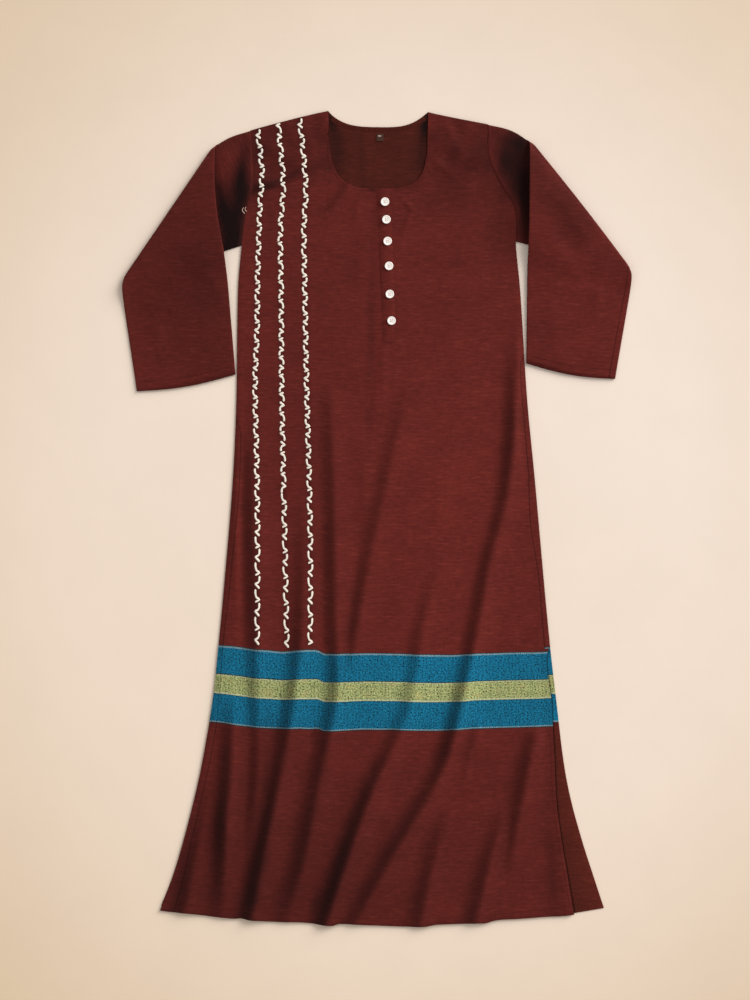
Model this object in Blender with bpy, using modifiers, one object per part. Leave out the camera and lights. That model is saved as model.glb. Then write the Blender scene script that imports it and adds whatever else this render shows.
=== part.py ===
"""Kurta tunic of thin handloom cotton, laid flat on its back with both sleeves folded over.

Every size is in metres, +Z is up, and the neck points to +Y. Tables of the cut are in
millimetres: x across the garment from its middle, and down from the neck points to the hem.
"""
import math
from collections import namedtuple

import bmesh
import bpy
from mathutils import Vector

MM = 0.001

# The cloth
CLOTH = 1.2 * MM                # wall of the cloth, with its slub and turned edges
GAP = 0.3 * MM                  # air between two pieces that touch
LAYER = CLOTH + GAP             # step from one cloth up to the next
TUBE = 2.0 * CLOTH + GAP        # both walls of a pressed sleeve

# Neck and shoulders
NECK_MIDDLE = 4.0 * MM
NECK_LEFT = 76.6 * MM           # from the neck's middle out to the left neck point
NECK_RIGHT = 73.0 * MM
NECK_TILT = 1.5 * MM            # how much lower the right neck point lies
FRONT_NECK_DROP = 115.5 * MM
FRONT_NECK_ROUND_LEFT = 3.0     # power of the scoop's curve: 2 is an ellipse, more is squarer
FRONT_NECK_ROUND_RIGHT = 3.8
BACK_NECK_DROP = 24.5 * MM
BACK_NECK_ROUND = 2.4
BACK_NECK_FULL = 0.61
SHOULDER_LEFT = -190.0 * MM     # where the left armhole seam starts
SHOULDER_RIGHT = 166.5 * MM
SHOULDER_DROP_LEFT = 30.5 * MM
SHOULDER_DROP_RIGHT = 22.0 * MM
SHOULDER_BOW_LEFT = 1.12        # power of the shoulder line: above 1 it arches, below it sags
SHOULDER_BOW_RIGHT = 0.9

# Body
UNDERARM_LEFT = 201.5 * MM      # down to the end of the armhole seam
UNDERARM_RIGHT = 195.5 * MM
HEM_DOWN = 1223.0 * MM          # down to the hem's lowest point
HEM_LOW_X = 35.0 * MM
HEM_LEFT_X = -325.4 * MM
HEM_RISE_LEFT = 26.3 * MM       # how much higher the hem's left corner lies
FRONT_HEM_RIGHT_X = 295.4 * MM
FRONT_HEM_RISE_RIGHT = 19.5 * MM
BACK_HEM_SHORTER = 4.0 * MM
BACK_HEM_RIGHT_X = 340.2 * MM
BACK_HEM_RISE_RIGHT = 25.4 * MM

# Outline of the body, from the armhole seams to the hem
Side = namedtuple("Side", "down left right")
SIDES = (
    Side(22, -190.0, 166.5),
    Side(64, -187.0, 167.0),
    Side(92, -185.5, 176.0),
    Side(118, -187.0, 190.5),
    Side(140, -193.5, 204.5),
    Side(170, -199.0, 209.0),
    Side(201, -202.5, 208.8),
    Side(266, -208.0, 215.0),
    Side(430, -210.5, 225.5),
    Side(556, -216.0, 237.5),
    Side(724, -230.0, 252.5),
    Side(808, -238.0, 260.7),
    Side(883, -246.0, 269.3),
    Side(978, -263.5, 279.6),
    Side(1034, -275.0, 293.0),
    Side(1096, -290.7, 311.7),
    Side(1149, -306.5, 326.4),
    Side(1197, -325.4, 341.4),
    Side(1223, -336.0, 350.0),
)

# Right side slit: how far the front's edge lies inside the back's
Slit = namedtuple("Slit", "down inset")
SLIT = (
    Slit(800, 0.0),
    Slit(824, 8.0),
    Slit(883, 7.4),
    Slit(934, 10.5),
    Slit(978, 13.8),
    Slit(1054, 25.0),
    Slit(1116, 33.8),
    Slit(1170, 41.9),
    Slit(1204, 47.2),
)

# Soft folds of the front, each a crest with a steep left side and an easy right side
FOLD_STEEP = 19.0 * MM
FOLD_EASY = 36.0 * MM
FOLD_EDGE_FLAT = 5.0 * MM       # flat border beside a sewn edge
FOLD_EDGE_FADE = 20.0 * MM      # run over which a fold dies out towards that border
Crest = namedtuple("Crest", "down x high")
FOLDS = {
    "left_edge": (Crest(985, -244, 0), Crest(1123, -273, 3.5), Crest(1205, -291, 4.5)),
    "left_skirt": (Crest(870, -214, 0), Crest(1000, -220, 6.5), Crest(1064, -226, 7),
                   Crest(1124, -228, 5), Crest(1210, -235, 2)),
    "left_waist": (Crest(470, -187, 0), Crest(584, -185, 4), Crest(764, -181, 5),
                   Crest(944, -178, 3.5), Crest(1030, -181, 0)),
    "stripe_skirt": (Crest(560, -108, 0), Crest(764, -112, 4.5), Crest(884, -124, 5.5),
                     Crest(1004, -146, 7.5), Crest(1124, -171, 8.5), Crest(1215, -190, 8.5)),
    "beside_stripes": (Crest(420, -70, 0), Crest(584, -64, 4.5), Crest(764, -62, 5),
                       Crest(874, -60, 6), Crest(1004, -86, 6), Crest(1124, -109, 4.5),
                       Crest(1220, -138, 2.5)),
    "middle_high": (Crest(400, 52, 0), Crest(494, 29, 3), Crest(674, -12, 4),
                    Crest(774, -29, 5), Crest(880, -47, 0)),
    "middle_skirt": (Crest(650, 104, 0), Crest(764, 71, 4), Crest(884, 51, 5),
                     Crest(1004, 0, 8), Crest(1124, -45, 9), Crest(1222, -78, 10)),
    "long_right": (Crest(330, 207, 0), Crest(464, 207, 6), Crest(584, 194, 7),
                   Crest(764, 153, 6.5), Crest(944, 114, 8), Crest(1064, 56, 7.5),
                   Crest(1124, 20, 6.5), Crest(1222, -34, 5.5)),
    "short_middle": (Crest(1040, 111, 0), Crest(1124, 86, 4), Crest(1222, 64, 5)),
    "short_right": (Crest(1050, 190, 0), Crest(1124, 170, 4.5), Crest(1218, 147, 6)),
    "right_skirt": (Crest(915, 240, 0), Crest(1004, 224, 5), Crest(1064, 212, 4.5),
                    Crest(1160, 195, 0)),
    "left_armhole": (Crest(95, -165, 0), Crest(150, -176, 5.5), Crest(200, -184, 6),
                     Crest(260, -190, 3.5), Crest(340, -193, 0)),
    "right_armhole": (Crest(100, 160, 0), Crest(150, 184, 4), Crest(200, 190, 4.5),
                      Crest(300, 196, 0)),
}

# Placket, down the middle from the scoop
Strip = namedtuple("Strip", "down left right")
PLACKET = (
    Strip(116.5, -1.2, 23.4),
    Strip(147, 0.2, 25.5),
    Strip(207, 4.0, 28.6),
    Strip(276, 7.2, 31.0),
    Strip(349, 8.4, 31.4),
)

# Buttons, top to bottom: middle of each on the placket
Button = namedtuple("Button", "down x")
BUTTONS = (
    Button(135.8, 12.6),
    Button(162.5, 14.7),
    Button(195.0, 16.8),
    Button(232.2, 18.6),
    Button(274.8, 20.0),
    Button(314.6, 22.2),
)
BUTTON_WIDE = 12.8 * MM
BUTTON_THICK = 2.4 * MM
BUTTON_RIM = 1.5 * MM           # width of the raised rim
BUTTON_DISH = 0.6 * MM          # how deep the middle lies below the rim
BUTTON_HOLE = 1.7 * MM
BUTTON_HOLE_APART = 2.6 * MM
BUTTON_SIDES = 24
HOLE_SIDES = 8

# Narrow binding inside the back neck, and the label under it
BINDING_WIDE = 7.0 * MM
BINDING_REACH = 0.90            # share of the half neck that it covers before the front hides it
LABEL_WIDE = 10.5 * MM
LABEL_LONG = 11.0 * MM
LABEL_THICK = 0.6 * MM
LABEL_DOWN = 39.5 * MM
LABEL_X = 5.0 * MM

# Sleeves: the slanted crease where each is folded over, and its cuff. "inner" is the
# sleeve's shoulder edge, which comes to lie beside the body, and "outer" its underarm edge.
Sleeve = namedtuple("Sleeve", "name side crease_in crease_out cuff_in cuff_out")
SLEEVES = (
    Sleeve("sleeve_left", -1, (-246.0, 54.5), (-380.9, 252.8), (-214.9, 395.4), (-360.0, 420.6)),
    Sleeve("sleeve_right", 1, (232.8, 46.4), (380.9, 239.3), (226.2, 378.8), (357.8, 402.0)),
)
CUFF_BOW = 5.5 * MM             # how far the cuff curves out between its corners
CROWN_BOW = 4.6 * MM            # arch of the shoulder edge from the body to the crease
OUTER_BOW = 5.4 * MM            # swell of the underarm edge just past the crease
OUTER_BOW_SKEW = 0.35
CREASE_RADIUS = 4.5 * MM        # roll of the folded sleeve, to its outer face
INNER_LOFT = 9.0 * MM           # how far the folded sleeve's inner edge stands off the layer below
LOFT_SKEW = 0.58                # below 1 the loft is highest near the crease
LOFT_FALL = 1.6                 # how fast the loft falls towards the outer edge
SETTLE = 34.0 * MM              # run over which the sleeve comes down off the layer below

# Fineness of the meshes
YOKE_ROWS = 8                   # rows beside the armholes, shared by the body and the sleeves
FRONT_SKIRT_ROWS = 42
BACK_SKIRT_ROWS = 14
FRONT_COLUMNS = (11, 20, 11)    # left shoulder, neck, right shoulder
BACK_COLUMNS = (6, 12, 6)
UNDER_ROWS = 6
BEND_ROWS = 5
OVER_ROWS = 12
ROLL_POINTS = 3                 # points round each rolled edge of a sleeve
PLACKET_ROWS = 16
BINDING_ROWS = 24

# Colours, linear
MAROON = (0.105, 0.016, 0.013, 1.0)
INSIDE = (0.062, 0.011, 0.009, 1.0)
WHITE = (0.80, 0.79, 0.76, 1.0)
BLACK = (0.020, 0.018, 0.018, 1.0)

TOP_Y = 0.5 * HEM_DOWN


def ease(t):
    """Smooth step from 0 to 1."""
    t = min(max(t, 0.0), 1.0)
    return t * t * (3.0 - 2.0 * t)


def mix(a, b, t):
    return a + (b - a) * t


def read(rows, column, down):
    """A column of a table at one distance down, in metres, on a smooth curve."""
    key = down / MM
    downs = [row.down for row in rows]
    values = [getattr(row, column) for row in rows]
    if key <= downs[0]:
        return values[0] * MM
    if key >= downs[-1]:
        return values[-1] * MM
    k = max(i for i, d in enumerate(downs) if d <= key)

    def slope(i):
        low = max(i - 1, 0)
        high = min(i + 1, len(downs) - 1)
        return (values[high] - values[low]) / (downs[high] - downs[low])

    span = downs[k + 1] - downs[k]
    t = (key - downs[k]) / span
    a = (2 * t ** 3 - 3 * t ** 2 + 1) * values[k]
    b = (t ** 3 - 2 * t ** 2 + t) * span * slope(k)
    c = (3 * t ** 2 - 2 * t ** 3) * values[k + 1]
    d = (t ** 3 - t ** 2) * span * slope(k + 1)
    return (a + b + c + d) * MM


def shoulder(x):
    """Distance down to the shoulder line at x."""
    left_point = NECK_MIDDLE - NECK_LEFT
    right_point = NECK_MIDDLE + NECK_RIGHT
    if x < NECK_MIDDLE:
        run = (left_point - x) / (left_point - SHOULDER_LEFT)
        return SHOULDER_DROP_LEFT * max(run, 0.0) ** SHOULDER_BOW_LEFT
    run = (x - right_point) / (SHOULDER_RIGHT - right_point)
    return NECK_TILT + (SHOULDER_DROP_RIGHT - NECK_TILT) * max(run, 0.0) ** SHOULDER_BOW_RIGHT


def neck_tilt(share):
    return NECK_TILT * 0.5 * (share + 1.0)


def front_neck(angle):
    """A point of the front scoop, from the left neck point at 0 to the right one at pi."""
    if angle <= 0.5 * math.pi:
        half, power = NECK_LEFT, FRONT_NECK_ROUND_LEFT
    else:
        half, power = NECK_RIGHT, FRONT_NECK_ROUND_RIGHT
    share = -math.copysign(abs(math.cos(angle)) ** (2.0 / power), math.cos(angle))
    drop = FRONT_NECK_DROP * max(math.sin(angle), 0.0) ** (2.0 / power)
    return NECK_MIDDLE + half * share, drop + neck_tilt(share)


def back_neck(angle):
    """A point of the back neckline, from the left neck point at 0 to the right one at pi."""
    share = -math.cos(angle)
    half = NECK_LEFT if share < 0.0 else NECK_RIGHT
    fall = (1.0 - abs(share) ** BACK_NECK_ROUND) ** BACK_NECK_FULL
    return NECK_MIDDLE + half * share, BACK_NECK_DROP * fall + neck_tilt(share)


def front_right(down):
    """The front's right edge: the body's outline, then the free edge of the slit."""
    return read(SIDES, "right", down) - read(SLIT, "inset", down)


def back_right(down):
    return read(SIDES, "right", down)


def front_hem(x):
    reach = (x - HEM_LOW_X) / (FRONT_HEM_RIGHT_X - HEM_LOW_X)
    rise = FRONT_HEM_RISE_RIGHT
    if x < HEM_LOW_X:
        reach = (x - HEM_LOW_X) / (HEM_LEFT_X - HEM_LOW_X)
        rise = HEM_RISE_LEFT
    return HEM_DOWN - rise * reach ** 2


def back_hem(x):
    reach = (x - HEM_LOW_X) / (BACK_HEM_RIGHT_X - HEM_LOW_X)
    rise = BACK_HEM_RISE_RIGHT
    if x < HEM_LOW_X:
        reach = (x - HEM_LOW_X) / (HEM_LEFT_X - HEM_LOW_X)
        rise = HEM_RISE_LEFT
    return HEM_DOWN - BACK_HEM_SHORTER - rise * reach ** 2


class Panel:
    """The plan of one body panel, as columns from its top edge to its hem, and rows."""

    def __init__(self, neck, right_edge, hem, columns, skirt_rows):
        self.right_edge = right_edge
        self.hem = hem
        self.skirt_rows = skirt_rows
        self.rows = YOKE_ROWS + skirt_rows
        self.tops = self.top_edge(neck, columns)
        self.columns = len(self.tops) - 1

    @staticmethod
    def top_edge(neck, columns):
        """Points of the top edge: left shoulder, neckline, right shoulder."""
        left_point = NECK_MIDDLE - NECK_LEFT
        right_point = NECK_MIDDLE + NECK_RIGHT
        left, middle, right = columns
        points = []
        for k in range(left):
            x = mix(SHOULDER_LEFT, left_point, k / left)
            points.append((x, shoulder(x)))
        for k in range(middle + 1):
            points.append(neck(math.pi * k / middle))
        for k in range(1, right + 1):
            x = mix(right_point, SHOULDER_RIGHT, k / right)
            points.append((x, shoulder(x)))
        return points

    def place(self, column, row):
        """Plan of one grid point: x and the distance down, in metres."""
        top_x, top_down = self.tops[column]
        top_share = (top_x - SHOULDER_LEFT) / (SHOULDER_RIGHT - SHOULDER_LEFT)
        underarm = mix(UNDERARM_LEFT, UNDERARM_RIGHT, top_share)
        if row <= YOKE_ROWS:
            down = mix(top_down, underarm, row / YOKE_ROWS)
            return self.across(top_share, down), down
        run = (row - YOKE_ROWS) / self.skirt_rows
        share = mix(top_share, column / self.columns, ease(2.0 * run))
        hem_x = mix(HEM_LEFT_X, self.right_edge(HEM_DOWN), share)
        down = mix(underarm, self.hem(hem_x), run)
        return self.across(share, down), down

    def across(self, share, down):
        """x of a column: the armholes bend only the columns near them."""
        power = mix(8.0, 1.0, ease((down - 0.12) / 0.20))
        left_move = read(SIDES, "left", down) - SHOULDER_LEFT
        right_move = self.right_edge(down) - SHOULDER_RIGHT
        x = mix(SHOULDER_LEFT, SHOULDER_RIGHT, share)
        return x + left_move * (1.0 - share) ** power + right_move * share ** power


FRONT = Panel(front_neck, front_right, front_hem, FRONT_COLUMNS, FRONT_SKIRT_ROWS)
BACK = Panel(back_neck, back_right, back_hem, BACK_COLUMNS, BACK_SKIRT_ROWS)


def crest_height(fold, x, down):
    """Height of one fold at a point: a rounded crest, steep to its left."""
    if not fold[0].down * MM < down:
        return 0.0
    off = x - read(fold, "x", down)
    reach = FOLD_STEEP if off < 0.0 else FOLD_EASY
    if abs(off) >= reach:
        return 0.0
    return max(read(fold, "high", down), 0.0) * 0.5 * (1.0 + math.cos(math.pi * off / reach))


def relief(x, down):
    """Height of the front above its flat lie, from its highest fold there."""
    high = max(crest_height(fold, x, down) for fold in FOLDS.values())
    to_left = x - read(SIDES, "left", down)
    to_right = front_right(down) - x
    return high * ease((min(to_left, to_right) - FOLD_EDGE_FLAT) / FOLD_EDGE_FADE)


def world(x, down, z):
    return Vector((x, TOP_Y - down, z))


def material(name, colour, roughness):
    finish = bpy.data.materials.new(name)
    finish.use_nodes = True
    shader = finish.node_tree.nodes["Principled BSDF"]
    shader.inputs["Base Color"].default_value = colour
    shader.inputs["Roughness"].default_value = roughness
    shader.inputs["Metallic"].default_value = 0.0
    return finish


def finish_mesh(bm, name, finish, collection):
    """An object from a bmesh, smooth shaded, in the garment's collection."""
    mesh = bpy.data.meshes.new(name)
    bm.to_mesh(mesh)
    bm.free()
    mesh.materials.append(finish)
    mesh.shade_smooth()
    piece = bpy.data.objects.new(name, mesh)
    collection.objects.link(piece)
    return piece


def sheet(name, across, along, place, thick, finish, collection):
    """A cloth wall: a grid whose points are placed one by one, given its thickness upwards."""
    bm = bmesh.new()
    bmesh.ops.create_grid(bm, x_segments=across, y_segments=along, size=0.5)
    for vert in bm.verts:
        column = round((vert.co.x + 0.5) * across)
        row = round((0.5 - vert.co.y) * along)
        vert.co = place(column, row)
    piece = finish_mesh(bm, name, finish, collection)
    wall = piece.modifiers.new("Wall", "SOLIDIFY")
    wall.thickness = thick
    wall.offset = 1.0
    wall.use_even_offset = True
    wall.use_quality_normals = True
    return piece


def make_back(finish, collection):
    def place(column, row):
        x, down = BACK.place(column, row)
        return world(x, down, 0.0)

    return sheet("back_panel", BACK.columns, BACK.rows, place, CLOTH, finish, collection)


def make_front(finish, collection):
    def place(column, row):
        x, down = FRONT.place(column, row)
        return world(x, down, LAYER + relief(x, down))

    return sheet("front_panel", FRONT.columns, FRONT.rows, place, CLOTH, finish, collection)


def make_placket(finish, collection):
    """The placket follows the front's own points, one layer out."""
    columns = 3

    def place(column, row):
        down = mix(PLACKET[0].down, PLACKET[-1].down, row / PLACKET_ROWS) * MM
        left = read(PLACKET, "left", down)
        right = read(PLACKET, "right", down)
        x = mix(left, right, column / columns)
        return world(x, down, 2.0 * LAYER + relief(x, down))

    return sheet("placket", columns, PLACKET_ROWS, place, CLOTH, finish, collection)


def make_binding(finish, collection):
    """A narrow strip along the inside of the back neck, on the back panel."""
    columns = 2

    def edge(row):
        share = mix(BINDING_REACH, -BINDING_REACH, row / BINDING_ROWS)
        return Vector(back_neck(math.acos(-share)))

    def place(column, row):
        here = edge(row)
        run = edge(min(row + 1, BINDING_ROWS)) - edge(max(row - 1, 0))
        inward = Vector((run.y, -run.x)).normalized()
        point = here + inward * (BINDING_WIDE * column / columns + GAP)
        return world(point.x, point.y, LAYER)

    piece = sheet("neck_binding", columns, BINDING_ROWS, place, CLOTH, finish, collection)
    return piece


def make_label(finish, collection):
    """A plain cloth label on the back panel, under the binding."""
    bm = bmesh.new()
    bmesh.ops.create_cube(bm, size=1.0)
    bmesh.ops.scale(bm, vec=(LABEL_WIDE, LABEL_LONG, LABEL_THICK), verts=bm.verts)
    lie = world(LABEL_X, LABEL_DOWN, LAYER + 0.5 * LABEL_THICK)
    bmesh.ops.translate(bm, vec=lie, verts=bm.verts)
    piece = finish_mesh(bm, "label", finish, collection)
    piece.data.shade_flat()
    return piece


def sleeve_ring(inset):
    """Points round a pressed sleeve: column across, offset past the rolled edge, and height.

    inset is 0 on the outer face of the cloth and CLOTH on its inner face.
    """
    middle = 0.5 * TUBE
    radius = middle - inset
    ring = [(k, 0.0, middle - radius) for k in range(YOKE_ROWS + 1)]
    for k in range(1, ROLL_POINTS + 1):
        turn = math.pi * k / (ROLL_POINTS + 1)
        ring.append((YOKE_ROWS, radius * math.sin(turn), middle - radius * math.cos(turn)))
    ring += [(k, 0.0, middle + radius) for k in range(YOKE_ROWS, -1, -1)]
    for k in range(1, ROLL_POINTS + 1):
        turn = math.pi * k / (ROLL_POINTS + 1)
        ring.append((0, -radius * math.sin(turn), middle + radius * math.cos(turn)))
    return ring


class SleevePlan:
    """Where a folded sleeve lies: under layer, rolled crease, and the layer folded over it."""

    def __init__(self, cut):
        self.cut = cut
        roll = 0.5 * TUBE
        self.armhole = self.armhole_points(roll)
        crease_in = Vector(cut.crease_in) * MM
        crease_out = Vector(cut.crease_out) * MM
        along = (crease_out - crease_in).normalized()
        self.outward = Vector((along.y, -along.x)) * cut.side
        inside = self.outward * CREASE_RADIUS
        self.crease = self.spaced(crease_in + along * roll - inside,
                                  crease_out - along * roll - inside)
        cuff_in = Vector(cut.cuff_in) * MM
        cuff_out = Vector(cut.cuff_out) * MM
        hem = (cuff_out - cuff_in).normalized() * roll
        self.cuff = self.spaced(cuff_in + hem, cuff_out - hem)
        for k, point in enumerate(self.cuff):
            point.y += CUFF_BOW * math.sin(math.pi * k / YOKE_ROWS)

    @staticmethod
    def spaced(start, end):
        return [start.lerp(end, k / YOKE_ROWS) for k in range(YOKE_ROWS + 1)]

    def armhole_points(self, roll):
        """The body's own armhole points, one gap out, pulled in at the ends for the rolls."""
        column = 0 if self.cut.side < 0 else FRONT.columns
        points = [Vector(FRONT.place(column, row)) for row in range(YOKE_ROWS + 1)]
        for point in points:
            point.x += GAP * self.cut.side
        points[0] += (points[1] - points[0]).normalized() * roll
        points[-1] += (points[-2] - points[-1]).normalized() * roll
        return points

    def under(self, column, run):
        point = self.armhole[column].lerp(self.crease[column], run)
        point.y -= CROWN_BOW * math.sin(math.pi * run) * (1.0 - column / YOKE_ROWS) ** 2
        return point

    def over(self, column, run):
        point = self.crease[column].lerp(self.cuff[column], run)
        swell = math.sin(math.pi * run ** OUTER_BOW_SKEW) * (column / YOKE_ROWS) ** 2
        point.x += self.cut.side * OUTER_BOW * swell
        return point

    def across(self, place, run):
        return (place(YOKE_ROWS, run) - place(0, run)).normalized()

    def lift(self, column, run, point):
        """Height of the folded layer above its flat lie on the layer below."""
        roll_height = 2.0 * CREASE_RADIUS - 2.0 * (TUBE + 0.5 * GAP)
        from_crease = roll_height * (1.0 - ease(run / 0.35))
        inner = (1.0 - column / YOKE_ROWS) ** LOFT_FALL
        loft = INNER_LOFT * inner * math.sin(math.pi * run ** LOFT_SKEW)
        edge_in, edge_out = self.under(YOKE_ROWS, 0.0), self.under(YOKE_ROWS, 1.0)
        edge = (edge_out - edge_in).normalized()
        beyond = (point - edge_in).cross(edge) * -self.cut.side
        drop = (TUBE + GAP) * ease(beyond / SETTLE)
        return from_crease + loft - drop

    def point(self, station, column, offset, height):
        """A point of the sleeve at one station along it."""
        kind, run = station
        if kind == "under":
            flat = self.under(column, run) + self.across(self.under, run) * offset
            return world(flat.x, flat.y, height)
        if kind == "bend":
            radius = CREASE_RADIUS - height
            flat = self.crease[column] + self.across(self.under, 1.0) * offset
            flat = flat + self.outward * radius * math.sin(run * math.pi)
            return world(flat.x, flat.y, CREASE_RADIUS - radius * math.cos(run * math.pi))
        flat = self.over(column, run) + self.across(self.over, run) * offset
        high = 2.0 * TUBE + GAP - height + self.lift(column, run, flat)
        return world(flat.x, flat.y, high)


def sleeve_stations():
    """Stations along a sleeve, from the armhole to the cuff."""
    stations = [("under", k / UNDER_ROWS) for k in range(UNDER_ROWS + 1)]
    stations += [("bend", k / (BEND_ROWS + 1)) for k in range(1, BEND_ROWS + 1)]
    stations += [("over", (k / OVER_ROWS) ** 1.3) for k in range(OVER_ROWS + 1)]
    return stations


def make_sleeve(cut, finish, collection):
    """A pressed tube with a wall: its outer face out to the cuff, then its inner face back."""
    plan = SleevePlan(cut)
    outer_ring = sleeve_ring(0.0)
    inner_ring = sleeve_ring(CLOTH)
    stations = sleeve_stations()
    loop = [(outer_ring, station) for station in stations]
    loop += [(inner_ring, station) for station in reversed(stations)]
    around = len(outer_ring)
    along = len(loop)
    bm = bmesh.new()
    bmesh.ops.create_grid(bm, x_segments=around, y_segments=along, size=0.5)
    for vert in bm.verts:
        k = round((vert.co.x + 0.5) * around) % around
        ring, station = loop[round((vert.co.y + 0.5) * along) % along]
        column, offset, height = ring[k]
        vert.co = plan.point(station, column, offset, height)
    bmesh.ops.remove_doubles(bm, verts=bm.verts, dist=0.000001)
    bmesh.ops.recalc_face_normals(bm, faces=bm.faces)
    return finish_mesh(bm, cut.name, finish, collection)


def button_profile():
    """Half section of a button, from its middle below to its middle above."""
    half = 0.5 * BUTTON_WIDE
    edge = 0.25 * BUTTON_THICK
    high = BUTTON_THICK
    return (
        (0.0, 0.0),
        (half - edge, 0.0),
        (half, edge),
        (half, high - edge),
        (half - 0.4 * edge, high),
        (half - BUTTON_RIM, high),
        (half - BUTTON_RIM - edge, high - BUTTON_DISH),
        (0.0, high - BUTTON_DISH),
    )


def make_button(number, button, finish, collection, cutters):
    """A turned four-hole button on the placket."""
    bm = bmesh.new()
    verts = [bm.verts.new((x, 0.0, z)) for x, z in button_profile()]
    edges = [bm.edges.new(pair) for pair in zip(verts, verts[1:])]
    bmesh.ops.spin(bm, geom=verts + edges, cent=(0, 0, 0), axis=(0, 0, 1),
                   angle=2.0 * math.pi, steps=BUTTON_SIDES, use_merge=True)
    bmesh.ops.remove_doubles(bm, verts=bm.verts, dist=0.00001)
    bmesh.ops.recalc_face_normals(bm, faces=bm.faces)
    name = "button_%d" % number
    piece = finish_mesh(bm, name, finish, collection)
    x = button.x * MM
    down = button.down * MM
    piece.location = world(x, down, 3.0 * LAYER + relief(x, down))
    piece.data.set_sharp_from_angle(angle=math.radians(40))

    bm = bmesh.new()
    for corner in range(4):
        turn = math.radians(45 + 90 * corner)
        reach = BUTTON_HOLE_APART / math.sqrt(2.0)
        made = bmesh.ops.create_cone(bm, cap_ends=True, segments=HOLE_SIDES,
                                     radius1=0.5 * BUTTON_HOLE, radius2=0.5 * BUTTON_HOLE,
                                     depth=3.0 * BUTTON_THICK)
        at = (reach * math.cos(turn), reach * math.sin(turn), 0.5 * BUTTON_THICK)
        bmesh.ops.translate(bm, vec=at, verts=made["verts"])
    holes = finish_mesh(bm, name + "_holes", finish, cutters)
    holes.location = piece.location
    holes.hide_render = True
    holes.display_type = "WIRE"
    cut = piece.modifiers.new("Holes", "BOOLEAN")
    cut.operation = "DIFFERENCE"
    cut.object = holes
    return piece


def centre_on_origin(pieces):
    """Shift the garment in plan so that the middle of its box stands on the origin."""
    bpy.context.view_layer.update()
    corners = []
    for piece in pieces:
        corners += [piece.matrix_world @ vert.co for vert in piece.data.vertices]
    low_x, high_x = min(c.x for c in corners), max(c.x for c in corners)
    low_y, high_y = min(c.y for c in corners), max(c.y for c in corners)
    shift = Vector((-0.5 * (low_x + high_x), -0.5 * (low_y + high_y), 0.0))
    for piece in pieces:
        piece.location += shift


def main():
    for old in list(bpy.data.objects):
        bpy.data.objects.remove(old, do_unlink=True)
    garment = bpy.data.collections.new("kurta_tunic")
    cutters = bpy.data.collections.new("cutters")
    bpy.context.scene.collection.children.link(garment)
    bpy.context.scene.collection.children.link(cutters)

    cotton = material("handloom_cotton", MAROON, 0.85)
    inside = material("handloom_cotton_inside", INSIDE, 0.9)
    button_white = material("button_polyester", WHITE, 0.35)
    label_cloth = material("label_cloth", BLACK, 0.7)

    make_back(inside, garment)
    make_front(cotton, garment)
    for cut in SLEEVES:
        make_sleeve(cut, cotton, garment)
    make_placket(cotton, garment)
    make_binding(inside, garment)
    make_label(label_cloth, garment)
    for number, button in enumerate(BUTTONS, start=1):
        make_button(number, button, button_white, garment, cutters)
    centre_on_origin(list(garment.objects) + list(cutters.objects))


main()
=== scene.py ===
"""Kurta tunic of handloom cotton, laid flat on its back with both sleeves folded over.

Every size is in metres, +Z is up and the neck points to +Y. Tables of the cut are in
millimetres: x across the garment from its middle, and down from the neck points to the hem.
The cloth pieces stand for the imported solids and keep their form, layer by layer.
"""
import bisect
import math
import random
from collections import namedtuple

import bmesh
import bpy
from bpy.props import FloatProperty, FloatVectorProperty, PointerProperty
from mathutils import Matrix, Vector, noise

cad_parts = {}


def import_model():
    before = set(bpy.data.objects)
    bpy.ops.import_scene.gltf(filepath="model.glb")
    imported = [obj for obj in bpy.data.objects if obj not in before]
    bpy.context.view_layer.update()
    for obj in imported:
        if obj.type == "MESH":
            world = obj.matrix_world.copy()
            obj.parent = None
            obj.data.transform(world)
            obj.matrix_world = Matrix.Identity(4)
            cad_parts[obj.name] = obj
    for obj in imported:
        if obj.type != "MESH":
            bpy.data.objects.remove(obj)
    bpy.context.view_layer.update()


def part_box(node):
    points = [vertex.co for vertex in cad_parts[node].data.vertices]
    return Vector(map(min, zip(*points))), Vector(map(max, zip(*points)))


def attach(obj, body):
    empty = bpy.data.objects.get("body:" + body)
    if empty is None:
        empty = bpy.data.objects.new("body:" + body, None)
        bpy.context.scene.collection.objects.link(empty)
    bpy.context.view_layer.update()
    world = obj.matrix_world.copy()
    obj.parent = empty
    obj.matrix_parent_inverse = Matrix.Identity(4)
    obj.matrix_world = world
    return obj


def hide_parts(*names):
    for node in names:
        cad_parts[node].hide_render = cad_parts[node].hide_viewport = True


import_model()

bl_info = {
    "name": "Kurta Tunic",
    "version": (1, 0, 0),
    "blender": (4, 5, 0),
    "location": "3D View > Sidebar > Kurta",
    "description": "Cloth, buttons, embroidery and stitching of a flat-laid kurta tunic",
    "category": "Add Mesh",
}

MM = 0.001


def table(columns, *rows):
    """Rows of numbers with named columns."""
    row_kind = namedtuple("Row", columns)
    return [row_kind(*row) for row in rows]


# The cloth
CLOTH = 1.2 * MM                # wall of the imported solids
GAP = 0.3 * MM                  # air between two pieces that touch
LAYER = CLOTH + GAP             # step from one cloth up to the next
TUBE = 2.0 * CLOTH + GAP        # both walls of a pressed sleeve
SEWN_SINK = 0.65 * MM           # how far the front's edge comes down where it is sewn to the back
SEWN_RUN = 5.0 * MM
SEWN_STARTS = 20.0 * MM         # run below the armhole over which that starts

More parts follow.
